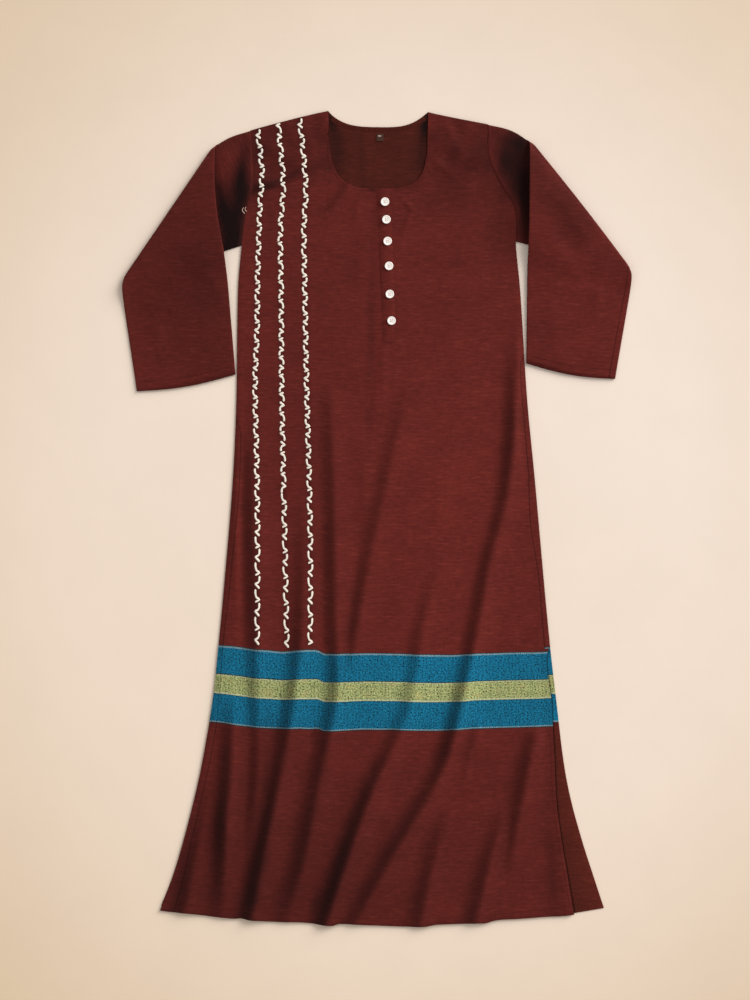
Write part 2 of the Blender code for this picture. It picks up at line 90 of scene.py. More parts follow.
# Neck and shoulders
NECK_MIDDLE = 4.0 * MM
NECK_LEFT = 76.6 * MM           # from the neck's middle out to the left neck point
NECK_RIGHT = 73.0 * MM
NECK_TILT = 1.5 * MM            # how much lower the right neck point lies
FRONT_NECK_DROP = 115.5 * MM
FRONT_NECK_ROUND_LEFT = 3.4     # power of the scoop's curve: 2 is an ellipse, more is squarer
FRONT_NECK_ROUND_RIGHT = 3.8
BACK_NECK_DROP = 23.2 * MM
BACK_NECK_ROUND = 3.3
BACK_NECK_FULL_LEFT = 0.9
BACK_NECK_FULL_RIGHT = 1.1
NECK_EVEN = 0.8                 # how far the neckline's points crowd towards its ends
SHOULDER_LEFT = -190.0 * MM     # where the left armhole seam starts
SHOULDER_RIGHT = 166.5 * MM
SHOULDER_DROP_LEFT = 29.2 * MM
SHOULDER_DROP_RIGHT = 19.8 * MM
SHOULDER_BOW_LEFT = 1.12        # power of the shoulder line: above 1 it arches, below it sags
SHOULDER_BOW_RIGHT = 0.9

# Body
UNDERARM_LEFT = 201.5 * MM      # down to the end of the armhole seam
UNDERARM_RIGHT = 195.5 * MM
ARMHOLE_BEND = 8.0              # power with which the armhole's bend dies out across the body
ARMHOLE_FADES = (0.12, 0.32)    # metres down over which that power falls to 1
SLIT_TOP = 800.0 * MM           # down to where the side seams end in a slit
SLIT_SEWN = 10.0 * MM           # give of the stitches at the slit's top
HEM_DOWN = 1223.0 * MM          # down to the hem's lowest point
HEM_LOW_X = 35.0 * MM
HEM_LEFT_X = -325.4 * MM
HEM_RISE_LEFT = 26.3 * MM       # how much higher the hem's left corner lies
FRONT_HEM_RIGHT_X = 295.4 * MM
FRONT_HEM_RISE_RIGHT = 19.5 * MM
BACK_HEM_SHORTER = 4.0 * MM     # how much shorter the back hangs, where it is hidden
BACK_HEM_LEVEL = (240.0 * MM, 290.0 * MM)   # x over which it comes level with the front
BACK_HEM_RIGHT_X = 340.2 * MM
BACK_HEM_RISE_RIGHT = 25.4 * MM
HEM_FOLD = 12.0 * MM            # depth of the turned and stitched hem
HEM_STEP = 0.35 * MM            # how much thicker the turned cloth stands
HEM_STEP_RUN = 3.0 * MM

# Outline of the body, from the armhole seams to the hem
SIDES = table(
    "down left right",
    (22, -190, 166.5), (64, -187, 167), (92, -185.5, 176), (118, -187, 190.5), (140, -193.5, 204.5),
    (170, -199, 209), (201, -202.5, 208.8), (266, -208, 215), (430, -210.5, 225.5),
    (556, -216, 237.5), (724, -230, 252.5), (808, -238, 260.7), (883, -246, 269.3),
    (978, -262, 280.8), (1034, -274.3, 291.6), (1096, -290.4, 308.6), (1149, -306.5, 325.6),
    (1197, -325.4, 341.4), (1223, -336, 350),
)

# Right side slit: how far the front's edge lies inside the back's
SLIT = table(
    "down inset",
    (800, 0), (824, 8), (883, 7.4), (934, 10.5), (978, 13.8), (1054, 25), (1116, 33.8),
    (1170, 41.9), (1204, 47.2),
)

# Side seams: how far each lies inside the outline of the front
SEAM_LEFT = table(
    "down inset",
    (430, 9), (493, 8.5), (583, 10), (643, 9), (718, 8), (804, 6.3), (883, 8.8), (916, 10.5),
    (951, 11), (1033, 10), (1063, 11), (1101, 12), (1153, 17), (1195, 21),
)
SEAM_RIGHT = table(
    "down inset",
    (330, 8), (403, 8), (541, 9), (618, 13), (694, 8), (786, 8.6),
)
SEAM_STARTS = (430.0 * MM, 330.0 * MM)   # down to where each seam comes into sight
SEAM_FADE = 60.0 * MM
SEAM_AWAY = 20.0 * MM           # a seam this far off leaves no mark
SLIT_SHADE = 0.5                # painted shadow beside the slit, drawn as a seam's groove: below 1 it is wider than a seam's
SLIT_SHADE_OFF = 0.1 * MM
BORDER_STEP = 6.5 * MM          # how much higher the border lies on the back's cloth

# Uneven hem of the front: how much lower it hangs at each x
RIPPLES = table(
    "x drop",
    (-330, 3), (-311, 2.6), (-296, 1.6), (-270, 1), (-215, 0.8), (-203, -0.8), (-188, 0.4),
    (-150, 0), (-122, -1.4), (-100, -1.2), (-84, 0.2), (-66, 0.8), (-57, -2), (0, -0.8), (42, 0.6),
    (72, 1), (90, -1.2), (154, -0.4), (162, 0.5), (180, -2.6), (214, -1.4), (255, 0.5), (275, 2.6),
    (296, 3.6),
)
RIPPLE_RUN = 130.0 * MM         # how far above the hem its unevenness starts
HEM_LOW_RUN = 80.0 * MM         # and how far above it the folds start to flatten, to a half

# Soft folds of the front, each a crest with a steep left side and an easy right side
FOLD_STEEP = 19.0 * MM
FOLD_EASY = 36.0 * MM
FOLD_ROUND = 3.5 * MM           # rounding of the crest
HOLLOW_OFF = 7.2 * MM           # middle of the painted shade in a hollow, left of its crest
HOLLOW_HALF = 20.0 * MM
HOLLOW_WIDE = 29.0 * MM         # its reach to the left in the skirt
HOLLOW_WIDENS = (0.85, 1.0)     # metres down
HOLLOW_OVER = 4.0 * MM          # how far past the crest the painted shade reaches
HOLLOW_FULL = 8.0 * MM          # height of a fold whose hollow is fully painted in shade
HOLLOW_PAINTED_SHADE = 0.58               # how much darker the hollow's shade is painted
HOLLOW_MOST = 1.3               # deepest painted shade of a hollow
FOLD_EDGE_FLAT = 5.0 * MM       # flat border beside a sewn edge
FOLD_EDGE_FADE = 20.0 * MM      # run over which a fold dies out towards that border
CREASE_EDGE = 12.0 * MM         # and a smaller crease towards the edge
FOLDS = [table("down x high", *rows) for rows in (
    # left edge
    ((985, -244, 0), (1123, -273, 4.5), (1205, -291, 6.5)),
    # left skirt
    ((870, -214, 0), (944, -217, 6), (1000, -220, 7.5), (1064, -226, 9.5), (1124, -228, 7),
     (1210, -235, 3)),
    # left waist
    ((470, -187, 0), (584, -185, 4.5), (764, -181, 5), (944, -178, 4), (1004, -179, 4.5),
     (1064, -184, 3), (1130, -190, 0)),
    # stripe skirt
    ((560, -108, 0), (764, -112, 4.5), (884, -124, 6), (1004, -146, 7.5), (1064, -158, 8.5),
     (1124, -171, 9.5), (1215, -190, 10)),
    # beside stripes
    ((400, -70, 0), (464, -68, 2.6), (584, -64, 3.9), (674, -63, 4.8), (764, -62, 4.7),
     (874, -60, 6), (1004, -86, 5.6), (1124, -109, 5.6), (1220, -138, 3)),
    # middle high
    ((400, 52, 0), (494, 29, 2.4), (674, -11, 3.6), (774, -29, 4.5), (880, -47, 0)),
    # middle skirt
    ((650, 104, 0), (764, 71, 3), (884, 51, 4), (944, 29, 5), (1004, 0, 7), (1064, -24, 8.5),
     (1124, -45, 9.5), (1222, -78, 10.5)),
    # long right
    ((330, 207, 0), (464, 207, 5.4), (584, 194, 5.4), (674, 170, 5.4), (764, 153, 5.6),
     (944, 114, 7.6), (1004, 91, 6), (1064, 56, 6), (1124, 20, 6), (1222, -34, 5)),
    # short middle
    ((1040, 111, 0), (1064, 105, 1.6), (1124, 86, 4), (1222, 64, 6)),
    # short right
    ((1040, 193, 0), (1064, 188, 2.4), (1124, 170, 4.8), (1218, 147, 6)),
    # right skirt
    ((915, 240, 0), (944, 236, 4), (1004, 224, 5), (1064, 212, 4.6), (1124, 202, 2),
     (1160, 195, 0)),
    # below border
    ((905, 152, 0), (944, 148, 3), (985, 143, 0)),
)]

# Smaller creases: soft oval patches turned from +x towards the hem by degrees. long and wide
# are their half sizes, and much is a height in millimetres, or a share of painted light and shade.
# tail is how many times wider the patch is on its lower or left side.
Patch = namedtuple("Patch", "x down long wide turn much tail", defaults=(1.0,))
PATCH_REACH = 2.6               # half sizes beyond which a patch is nothing


def patches(*rows):
    return [Patch(*row) for row in rows]


FRONT_CREASES = patches(
    # left chest from the armhole, and the wedge beside the scoop
    (-160, 112, 60, 7, -10, 2.4, 3), (-112, 90, 42, 7, -28, 2.2, 3),
    (-58, 132, 30, 6, 126, 2.8, 1.8), (-30, 150, 26, 5, 100, 1.2),
    # beside the placket
    (-20, 200, 60, 8, 93, 1.3, 1.5), (47, 141, 11, 4, 54, 1.5), (46, 167, 22, 4.5, 112, 1.8),
    # right yoke and armhole
    (118, 56, 22, 9, 25, 2, 1.5), (150, 66, 36, 7, -22, 2, 1.6), (100, 86, 24, 6, 40, 1.6),
    (112, 36, 20, 6, 60, 1.4), (205, 142, 20, 5, 70, 1.2), (190, 158, 24, 5, 100, 1),
    # below the placket, and the pressed line across the right chest
    (10, 392, 54, 6, 92, 1.4), (-2, 430, 40, 5, 96, 0.9), (157, 273, 48, 3, -15, 1),
    # beside the folds, the left seam and the slit
    (213, 385, 60, 8, 90, 3.4), (-18, 1086, 75, 8, 114, 3.2), (137, 973, 32, 6, 98, 2.2),
    (-212, 620, 200, 7, 88, 2.2), (284, 1153, 60, 6, 84, 2),
    # broad and low
    (-150, 60, 40, 12, 25, 2.2), (-100, 48, 30, 8, 70, 1.6), (120, 380, 60, 20, 80, 1.4),
    (-110, 330, 90, 16, 86, 1.2), (-20, 560, 80, 18, 82, 1.5), (95, 600, 90, 16, 100, 1.5),
)
# Painted light and shade on the front, as shares: darker patches paint the shade of its creases,
# armholes and skirt folds and darken its yokes, lighter ones paint light on ridges and the belly
FRONT_PAINTED_SHADING = patches(
    # yokes
    (-140, 50, 84, 48, -10, -0.38), (126, 70, 78, 64, 5, -0.36), (-80, 45, 50, 14, 90, -0.14),
    # creases below the left yoke
    (-172, 115, 34, 6.5, -8, -0.14), (-168, 119, 44, 3.5, 163, -0.26, 5),
    (-157, 106, 26, 7, 166, -0.17), (-124, 96, 16, 7, 150, -0.14), (-98, 94, 12, 10, 90, -0.12),
    (-66, 86, 18, 9, 100, -0.18), (-75, 81, 9, 16, 90, -0.14), (-163, 113, 15, 5, 178, -0.18),
    (-141, 113, 8, 6, 90, 0.08), (-52, 113, 14, 8, 110, -0.12), (-47, 118, 16, 8, 110, -0.11),
    (-112, 52, 24, 9, 88, 0.1), (-160, 160, 44, 10, 90, -0.08), (-118, 93, 42, 6.5, -26, -0.22),
    (-186, 100, 56, 14, 95, -0.3), (-160, 184, 50, 11, 90, -0.1),
    # wedge beside the scoop
    (-58, 129, 26, 7, 126, -0.22), (-72, 190, 46, 17, 95, 0.03),
    # beside the placket
    (-15, 190, 32, 5, 90, -0.09),
    # right chest
    (110, 148, 52, 8, 0, -0.08), (118, 58, 18, 12, 90, -0.14), (160, 50, 34, 14, 90, -0.09),
    (95, 132, 80, 22, 0, -0.08), (180, 185, 36, 24, 90, -0.14), (206, 124, 16, 9, 90, -0.16),
    # beside the right armhole
    (162, 56, 34, 10, 85, -0.18), (196, 78, 30, 10, 88, -0.3), (182, 110, 34, 12, 80, -0.16),
    (190, 150, 60, 26, 90, -0.12), (196, 120, 20, 12, 90, -0.18), (204, 190, 44, 12, 85, -0.16),
    # belly
    (110, 640, 340, 130, 90, 0.21), (140, 508, 60, 40, 90, 0.06), (-207, 640, 260, 5.5, 91, 0.26),
    (-190, 480, 90, 8, 90, -0.12),
    # skirt
    (0, 1090, 400, 150, 0, -0.07), (-120, 1140, 190, 110, 0, -0.25), (-168, 950, 60, 13, 95, -0.24),
    (-212, 1010, 90, 9, 92, -0.12), (-153, 936, 14, 6, 95, -0.2), (-93, 936, 16, 6, 95, -0.22),
    (-137, 965, 34, 6.5, 96, -0.2), (-121, 980, 60, 10, 93, -0.09), (-78, 975, 32, 7, 95, -0.22),
    (-92, 1045, 30, 7, 100, -0.15), (-167, 1008, 22, 6, 95, -0.15), (-167, 1124, 28, 7, 104, -0.24),
    (-170, 1185, 120, 30, 0, -0.08), (-182, 1182, 22, 7, 100, -0.24),
    (-93, 1192, 20, 7, 105, -0.28), (-290, 1160, 90, 30, 105, -0.18),
    # beside the slit
    (264, 1146, 80, 10, 86, -0.34),
    # end of the scoop's left side
    (-7, 118, 7, 2.5, 12, -0.6),
    # soft line down the placket's left side
    (-8, 310, 140, 6.5, 91, -0.17), (-8, 338, 44, 6, 90, -0.11), (-5, 156, 18, 5, 95, -0.09),
)
# Painted shade on the back in the sides and corners of the scoop, where the front shades it
BACK_PAINTED_SHADING = patches(
    # sides of the neck
    (-60, 62, 34, 13, 78, -0.45), (-63, 24, 26, 12, 70, -0.32), (68, 62, 34, 10, 100, -0.4),
    (72, 22, 26, 9, 95, -0.42), (72, 25, 20, 7, 92, -0.2), (72, 80, 12, 7, 92, -0.18),
    (-22, 76, 45, 5, 88, -0.32),
    # its corners
    (-69, 14, 13, 7, 70, -0.45), (70, 18, 14, 9, 95, -0.25),
    # beyond the slit: painted light that lifts the darkened wrong side, and painted shade at the
    # slit's top
    (320, 1050, 260, 34, 78, 0.8), (272, 862, 50, 16, 82, -0.55),
)
BACK_CREASES = patches(
    (-26, 80, 46, 5, 88, 0.55), (36, 70, 34, 6, 100, 0.4), (-52, 84, 30, 6, 60, 0.45),
    (4, 98, 44, 5, 5, 0.35),
)
SLEEVE_CREASES = {
    "sleeve_left": patches(
        (-250, 250, 70, 14, 60, 1.2), (-300, 300, 60, 12, 20, 0.8), (-260, 345, 50, 9, 100, 0.8),
        (-330, 330, 50, 9, 80, 0.7),
    ),
    "sleeve_right": patches(
        (272, 265, 60, 3, 4, 0.7), (300, 165, 60, 14, 60, 1.6), (275, 215, 50, 10, 50, 1.2),
        (330, 280, 60, 10, 95, 0.9), (265, 320, 50, 10, 80, 0.9),
    ),
}
# Painted shade in the armpits between the sleeves' under layers and the body, with some painted
# light
UNDER_PAINTED_SHADING = {
    "sleeve_left": patches(
        (-214, 178, 60, 28, 95, -0.84), (-238, 120, 62, 10, 75, -0.72),
        (-202, 108, 46, 12, 95, -0.55), (-204, 86, 40, 10, 100, -0.34),
        (-228, 240, 40, 34, 95, -0.76), (-225, 42, 60, 12, -30, -0.16),
        (-222, 60, 60, 30, -20, -0.08), (-230, 52, 26, 12, -20, -0.14), (-235, 96, 12, 7, 90, 0.2),
        (-236, 158, 18, 8, 88, -0.22), (-226, 108, 16, 9, 90, -0.08), (-196, 128, 20, 8, 90, -0.14),
        (-190, 56, 12, 6, 90, -0.26), (-190, 112, 22, 7, 90, -0.28), (-218, 113, 26, 8, 95, -0.16),
    ),
    "sleeve_right": patches(
        (222, 120, 120, 25, 88, -0.9), (178, 40, 32, 14, 88, -0.2), (196, 78, 40, 15, 88, -0.42),
        (188, 78, 36, 9, 95, -0.2), (205, 58, 18, 16, 0, -0.06), (200, 44, 26, 10, 20, -0.16),
        (172, 50, 26, 7, 88, -0.14), (209, 122, 18, 9, 90, -0.18), (184, 76, 18, 9, 90, -0.15),
        (218, 44, 16, 10, 90, -0.16), (202, 30, 10, 12, 0, -0.14), (209, 154, 34, 6, 88, 0.38),
        (216, 198, 12, 14, 88, 0.1),
    ),
}
# Painted shade and light on the folded layers of the sleeves
OVER_PAINTED_SHADING = {
    "sleeve_left": patches(
        (-290, 260, 160, 90, 70, -0.3), (-250, 220, 60, 40, 60, -0.1),
        (-262, 120, 60, 50, 60, -0.08),
    ),
    "sleeve_right": patches(
        (290, 170, 60, 22, 55, -0.22), (300, 120, 90, 50, 55, -0.15), (238, 62, 34, 14, 88, -0.18),
        (240, 118, 70, 16, 88, -0.1), (275, 133, 40, 30, 55, -0.07), (300, 290, 90, 60, 80, 0.08),
    ),
}
UNDER_LEAST = {"sleeve_left": 0.055, "sleeve_right": 0.10}   # least of the painted shading, in the armpits
PAINTED_SHADING_LEAST = 0.1                 # and on the body

# Painted shade beside the front's edges: how much, and how far in. The sides start below the waist.
LEFT_SHADE, LEFT_SHADE_RUN, LEFT_SHADE_IN = 0.22, 9.0 * MM, 2.0 * MM
RIGHT_SHADE, RIGHT_SHADE_RUN = 0.09, 24.0 * MM
HEM_SHADE, HEM_SHADE_RUN = 0.25, 3.0 * MM
SIDE_SHADE_DOWN = (0.32, 0.52)
LEFT_SHADE_ENDS = (0.95, 1.10)

# Broad unevenness of cloth that was pressed and then laid out
WAVE_LONG = 85.0 * MM
WAVE_STRETCH = 0.6              # below 1 the waves run longer down the cloth
WAVE_HIGH = 0.55 * MM
WAVE_RAISE = 0.5                # lifts most of the waves off the flat lie
CRUMPLE_LONG = 26.0 * MM
CRUMPLE_STRETCH = 0.7
CRUMPLE_HIGH = 0.14 * MM
MOTTLE_WIDE, MOTTLE_LONG = 17.0 * MM, 24.0 * MM
WAVE_SLICE, CRUMPLE_SLICE, MOTTLE_SLICE, PLACKET_SLICE = 4.0, 9.0, 2.0, 6.0   # of the noise
YOKE_CRUMPLE = 2.2              # how much more the yokes are crumpled
YOKE_PAINTED_MOTTLE = 0.22                 # and how much mottled shade is painted on them
YOKE_DOWN = (0.07, 0.16)        # where the yokes fade into the chest

# Placket, down the middle from the scoop
PLACKET = table(
    "down left right",
    (116.5, -1.2, 23.4), (147, 0.2, 25.5), (207, 4, 28.6), (276, 7.2, 31), (349, 8.4, 31.4),
)
PLACKET_TOP, PLACKET_END = PLACKET[0].down * MM, PLACKET[-1].down * MM
PLACKET_WALL = 0.75             # share of the cloth's wall
PLACKET_SINK = 1.6              # millimetres that its edges are pressed down
PLACKET_SINK_RUN = 10.0 * MM    # from the right edge and the lower end
PLACKET_LEFT_RUN = 9.0 * MM
PLACKET_STANDS = (250.0 * MM, 50.0 * MM)   # where its left edge stands up, and half how long
PLACKET_STANDS_BY = 0.7         # millimetres, and how unevenly
PLACKET_UNEVEN = 0.4
PLACKET_UNEVEN_LONG = 22.0 * MM
PLACKET_SLACK = 2.0 * MM        # its wefts lie this much lower than the front's

# Buttons, top to bottom: middle of each on the placket
BUTTONS = table(
    "down x",
    (136.5, 12.4), (163.1, 14.5), (195.5, 16.3), (232.7, 18.4), (274.9, 19.6), (314.8, 22.2),
)
BUTTON_THICK = 2.4 * MM
BUTTON_HOLE = 1.4 * MM
BUTTON_HOLE_APART = 2.6 * MM
BUTTON_STEPS = 48
BUTTON_SHARP = 38.0             # degrees from which an edge shows
HOLE_STEPS = 16
# A turned button's half section in millimetres, from its middle below to its middle above
BUTTON_SECTION = (
    (0, 0), (5.4, 0), (6, 0.2), (6.4, 0.75), (6.4, 1.5), (6.25, 2), (5.9, 2.3), (5.5, 2.4),
    (5.1, 2.3), (4.75, 2.05), (4.3, 1.88), (3, 1.8), (0, 1.78),
)
# Thread through two holes: out in half distances of the holes, up in millimetres
BUTTON_BAR = ((-1.25, 0.6), (-1.0, 1.9), (-0.45, 2.2), (0.45, 2.2), (1.0, 1.9), (1.25, 0.6))
BUTTON_BAR_HALF = (0.42 * MM, 0.24 * MM)   # half width and half height of the thread

# Narrow binding inside the back neck, and the label under it
BINDING_WIDE = 7.0 * MM
BINDING_REACH = 0.90            # share of the half neck that it covers before the front hides it
BINDING_PRESSED = 0.95 * MM     # how far its lower edge is pressed down
BINDING_WEFT = 0.17             # metres of weave along it
# how much darker the binding is drawn
BINDING_TONE = 0.95
LABEL_WIDE = 10.5 * MM
LABEL_LONG = 11.0 * MM
LABEL_THICK = 0.6 * MM
LABEL_CURL = 0.25 * MM
LABEL_CELLS = 6
LABEL_DOWN = 39.5 * MM
LABEL_X = 5.0 * MM
BAR_MIDDLE = (4.394 * MM, 37.294 * MM)   # the label's plain pale bar: its middle, x and down
BAR_HALF = (3.03 * MM, 1.1 * MM)         # and its half sizes

# Sleeves: the slanted crease where each is folded over, and its cuff. "inner" is the
# sleeve's shoulder edge, which comes to lie beside the body, and "outer" its underarm edge.
# away and toward are how far the inner edge bends from the body above, and to it below.
# crown is the arch of the shoulder edge, and corner how far it rides up beside the crease.
# swell is how far the crease bows outwards at its middle.
SLEEVES = table(
    "name side crease_in crease_out cuff_in cuff_out away toward crown corner swell",
    ("sleeve_left", -1, (-246.4, 54.0), (-380.4, 254.4), (-214.9, 395.4), (-360.0, 420.6),
     4.5, 3.0, 4.6, 8.0, 0.4),
    ("sleeve_right", 1, (232.8, 46.4), (380.9, 239.3), (226.2, 378.8), (357.8, 402.0),
     0.0, 1.8, 6.4, 7.5, 2.1),
)
ARMHOLE_TUCK = 0.8 * MM         # how far each sleeve's edge slips under the front
UNDER_TUCK = 0.12 * MM          # and how far its upper wall is pressed down there
UNDER_TUCK_RUN = 0.15           # share of the under layer over which it comes up again
CUFF_BOW = 5.5 * MM             # how far the cuff curves out between its corners
CROWN_BOW_SKEW = 1.2            # above 1 the shoulder edge's arch is highest near the crease
AWAY_RUN = 0.44                 # share of the folded layer over which its edge bends away
TOWARD_RUN = (0.30, 0.65)       # and then comes back
OUTER_BOW = 6.3 * MM            # swell of the underarm edge just past the crease
OUTER_BOW_SKEW = 0.35
OUTER_BOW_START = 0.01          # how far into its swell the edge leaves the crease
CREASE_RADIUS = 4.5 * MM        # roll of the folded sleeve, to its outer face
CREASE_ROLL = math.pi * CREASE_RADIUS
CREASE_SETTLES = 0.35           # share of the folded layer over which it comes off the roll
ROLL_END = 0.4                  # fullness of the roll at its two ends
ROLL_END_COLUMNS = 1.5          # columns over which it becomes full
PLAIN_RUN, PLAIN_EDGE = 6.0, 4.0   # parts of the folded layer: one beside the crease and one
                                   # beside the outer edge have no small creases
INNER_LOFT = 9.5 * MM           # how far the folded sleeve's inner edge stands off the layer below
LOFT_SKEW = 0.58                # below 1 the loft is highest near the crease
LOFT_FALL = 1.6                 # how fast the loft falls towards the outer edge
LOFT_LOWER = 0.6                # share of the loft that is gone lower down
LOFT_LOWERS = (0.40, 0.62)
SETTLE = 34.0 * MM              # run over which the sleeve comes down off the layer below
SLEEVE_SEAM = 9.0 * MM          # underarm seam inside the right sleeve's outer edge
SEAM_HIGH = (0.16, 0.28)        # share of the armhole where its seam goes out of sight
CUFF_FOLD = 14.0 * MM           # depth of the stitched cuff hem

# Woven border near the hem: its top line across the front, and its stripes
BORDER_LINE = table(
    "x down deep",
    (-245, 801.2, 115.9), (-226, 802.4, 116.9), (-208, 804, 118.1), (-184, 807.3, 117.7),
    (-160, 809.3, 117.3), (-141, 811.2, 116.2), (-118, 808.9, 118), (-100, 808.1, 120),
    (-88, 809.3, 118.4), (-80, 813.4, 117.2), (-73, 814.1, 116.6), (-46, 813.9, 116.1),
    (-20, 813.5, 115.4), (5, 813.7, 115.4), (35, 814.3, 114.9), (62, 815.3, 115), (98, 816, 114.3),
    (118, 816.1, 112.6), (146, 813.8, 113.3), (170, 813.6, 112.8), (206, 812.4, 113.1),
    (242, 811.9, 112.5), (256, 811.2, 112.5),
)
BORDER_TOP = 812.0 * MM         # down to the border's straight top line on the cut cloth
BORDER_DEEP = 114.9 * MM
BORDER_BENDS = (300.0 * MM, 800.0 * MM)  # the weft runs straight above, and with the border below
BORDER = (
    (0, "ground"), (810.9, "shade"), (812.1, "teal"), (852.8, "shade"), (853.9, "lime"),
    (882.7, "shade"), (883.7, "teal"), (925.8, "shade"), (926.9, "ground"),
)
# Rows of pale floats: down from, down to, and how pale
PICKS = ((812.1, 814.1, 0.4), (853.9, 855.9, 0.4), (880.8, 882.7, 0.6), (924.1, 925.8, 0.4))
BORDER_SPAN = (0.790, 0.940)    # metres down that the border's ramps cover

# Embroidery: three stripes of sprigs, each stripe's centre line
EMBROIDERY = [table("x down", *rows) for rows in (
    ((-179.1, 26.4), (-172.4, 87), (-173.3, 117), (-175.5, 147), (-177.6, 205.5), (-179.1, 265.5),
     (-179.7, 324), (-182.6, 414), (-180, 526.5), (-178.7, 648), (-179.4, 801)),
    ((-148.1, 17.4), (-141.5, 87), (-140.3, 117), (-144.5, 175.5), (-143.6, 265.5), (-142.7, 414),
     (-140.6, 526.5), (-138, 648), (-135, 805.5)),
    ((-116.3, 10.1), (-110.9, 57), (-106.5, 117), (-109.4, 175.5), (-108, 265.5), (-105.3, 414),
     (-102.2, 526.5), (-99.8, 648), (-99.8, 801)),
)]
UPSIDE_DOWN = (0.0, 560.0, 0.0)          # a stripe's sprigs hang the other way above this
LEAN_FIRST = (True, False, True)         # whether a stripe's first sprig leans right
SPRIG_TALL = table(
    "down tall",
    (0, 14.6), (130, 14.8), (330, 14.2), (430, 14.2), (510, 15.6), (590, 17.3), (670, 19.8),
    (810, 20.6),
)
# A sprig's run: x in half widths, y in sprig heights; wide is the half width of the thread
# there, in millimetres
SPRIG_RIGHT = table(
    "x y wide",
    (1, 0, 1), (1, 0.1, 1.8), (1, 0.22, 1.6), (0.85, 0.42, 1.4), (0.1, 0.54, 1.7), (-0.9, 0.6, 1.9),
    (-0.75, 0.68, 1.5), (0, 0.78, 1.7), (0.75, 0.92, 1.8), (1, 0.99, 1.1),
)
SPRIG_LEFT = table(
    "x y wide",
    (-1, 0, 1), (-1, 0.12, 1.7), (-1, 0.3, 1.5), (-0.75, 0.52, 1.4), (-0.1, 0.66, 1.7),
    (0.95, 0.75, 2), (0.6, 0.84, 1.5), (-0.2, 0.88, 1.6), (-0.8, 0.94, 1.4), (-1, 0.98, 0.9),
)
SPRIG_HALF = 2.9 * MM
SPRIG_HIGH = 0.8 * MM           # the thread's height, before its share below
SPRIG_LIFT = 0.12 * MM
SPRIG_STRAY = 0.12 * MM         # unevenness of a hand-worked line
SPRIG_UNEVEN = (0.94, 1.06)     # and of the sprigs' heights
SPRIG_TIP = 0.3                 # share of the width at a sprig's two ends
# Share of the height for a half width of nothing, more for each millimetre, and up to how many
SPRIG_THICK = (0.45, 0.4, 1.6)
SPRIG_STEPS = 11
CHANCE_SEED = 7                 # of the sprigs' unevenness
STITCHED_PAINTED_SHADE = 0.36             # painted shade on the cloth between the sprigs
STITCHED_HALF = 4.3 * MM
STRIPE_STARTS = 1.0 * MM        # below the shoulder

# Stitches
STITCH_LONG = 2.3 * MM
STITCH_PITCH = 3.1 * MM
STITCH_HALF = (0.32 * MM, 0.28 * MM)    # half width and half height of the thread
STITCH_LIFT = 0.05 * MM
STITCH_BEADS = ((0.0, 0.15), (0.22, 1.0), (0.78, 1.0), (1.0, 0.15))  # run and size of its beads
HEM_CORNER = 1200.0 * MM        # down to where the hem's stitches meet the sides
SIDE_INSET = 4.0 * MM           # and how far inside them they stop
SLIT_INSIDE = 5.0 * MM          # stitch lines off the slit's, the scoop's and the placket's edge
SLIT_STITCHED = (0.935, 1.192)  # metres down
SCOOP_OUTSIDE = 3.5 * MM
SCOOP_STITCHED = (0.02, 0.98)   # share of the scoop
SCOOP_STEP = 0.0005             # share over which its direction is taken
PLACKET_INSIDE = 2.0 * MM
PLACKET_BOX = 12.0 * MM         # height of the stitched box at the placket's end
# Points along each line of stitches
HEM_STEPS, SLIT_STEPS, SCOOP_STEPS, PLACKET_STEPS, BOX_STEPS, CUFF_STEPS = 120, 60, 90, 40, 8, 60

# Loose pale thread end at the left armhole: two bent snippets
SNIPPETS = [table("x down", *rows) for rows in (
    ((-199.8, 144.6), (-201.6, 149.4), (-197.8, 154.2)),
    ((-196.2, 144.0), (-197.6, 147.8), (-195.0, 151.0)),
)]
SNIPPET_STEPS = 8
SNIPPET_LIFT = 0.45 * MM
SNIPPET_HALF = (0.5 * MM, 0.35 * MM)    # half width and half height
SNIPPET_TIP = 0.35

# Fineness of the meshes
YOKE_ROWS = 48                  # rows beside the armholes, shared by the body and the sleeves
FRONT_SKIRT_ROWS = 188
BACK_SKIRT_ROWS = 150
FRONT_COLUMNS = (46, 80, 46)    # left shoulder, neck, right shoulder
BACK_COLUMNS = (20, 40, 20)
UNDER_ROWS = 20
BEND_ROWS = 9
OVER_ROWS = 44
OVER_CROWD = 1.3                # above 1 the rows crowd towards the crease
ROLL_POINTS = 5                 # points round each rolled edge of a sleeve
PLACKET_ROWS = 72
PLACKET_COLUMNS = 10
BINDING_ROWS = 64
BINDING_COLUMNS = 4
THREAD_SIDES = 6
STITCH_SIDES = 4
WELD = 0.001 * MM               # points closer than this are one

# Camera and stage
CAMERA_PLACE = (-0.0026, 0.0279, 3.545)
CAMERA_LENS = 85.0
FLOOR_DROP = 0.2 * MM
FLOOR_HALF = 4.0
FLOOR_CELLS = 12
WINDOW_COLOUR = (1.0, 0.985, 0.96)
ROOM_COLOUR = (1.0, 0.99, 0.975, 1.0)


def linear(hex_colour):
    """An sRGB hex colour as linear red, green and blue."""
    parts = [int(hex_colour[k:k + 2], 16) / 255.0 for k in (1, 3, 5)]
    return [p / 12.92 if p <= 0.04045 else ((p + 0.055) / 1.055) ** 2.4 for p in parts]


def mix(a, b, t):
    return a + (b - a) * t


def ease(t):
    """Smooth step from 0 to 1."""
    t = min(max(t, 0.0), 1.0)
    return t * t * (3.0 - 2.0 * t)


def ease_over(value, ends):
    """Smooth step from 0 at the first of two ends to 1 at the second."""
    return ease((value - ends[0]) / (ends[1] - ends[0]))


def near(distance, run):
    """1 at no distance, easing to 0 at the end of a run."""
    return 1.0 - ease(distance / run)


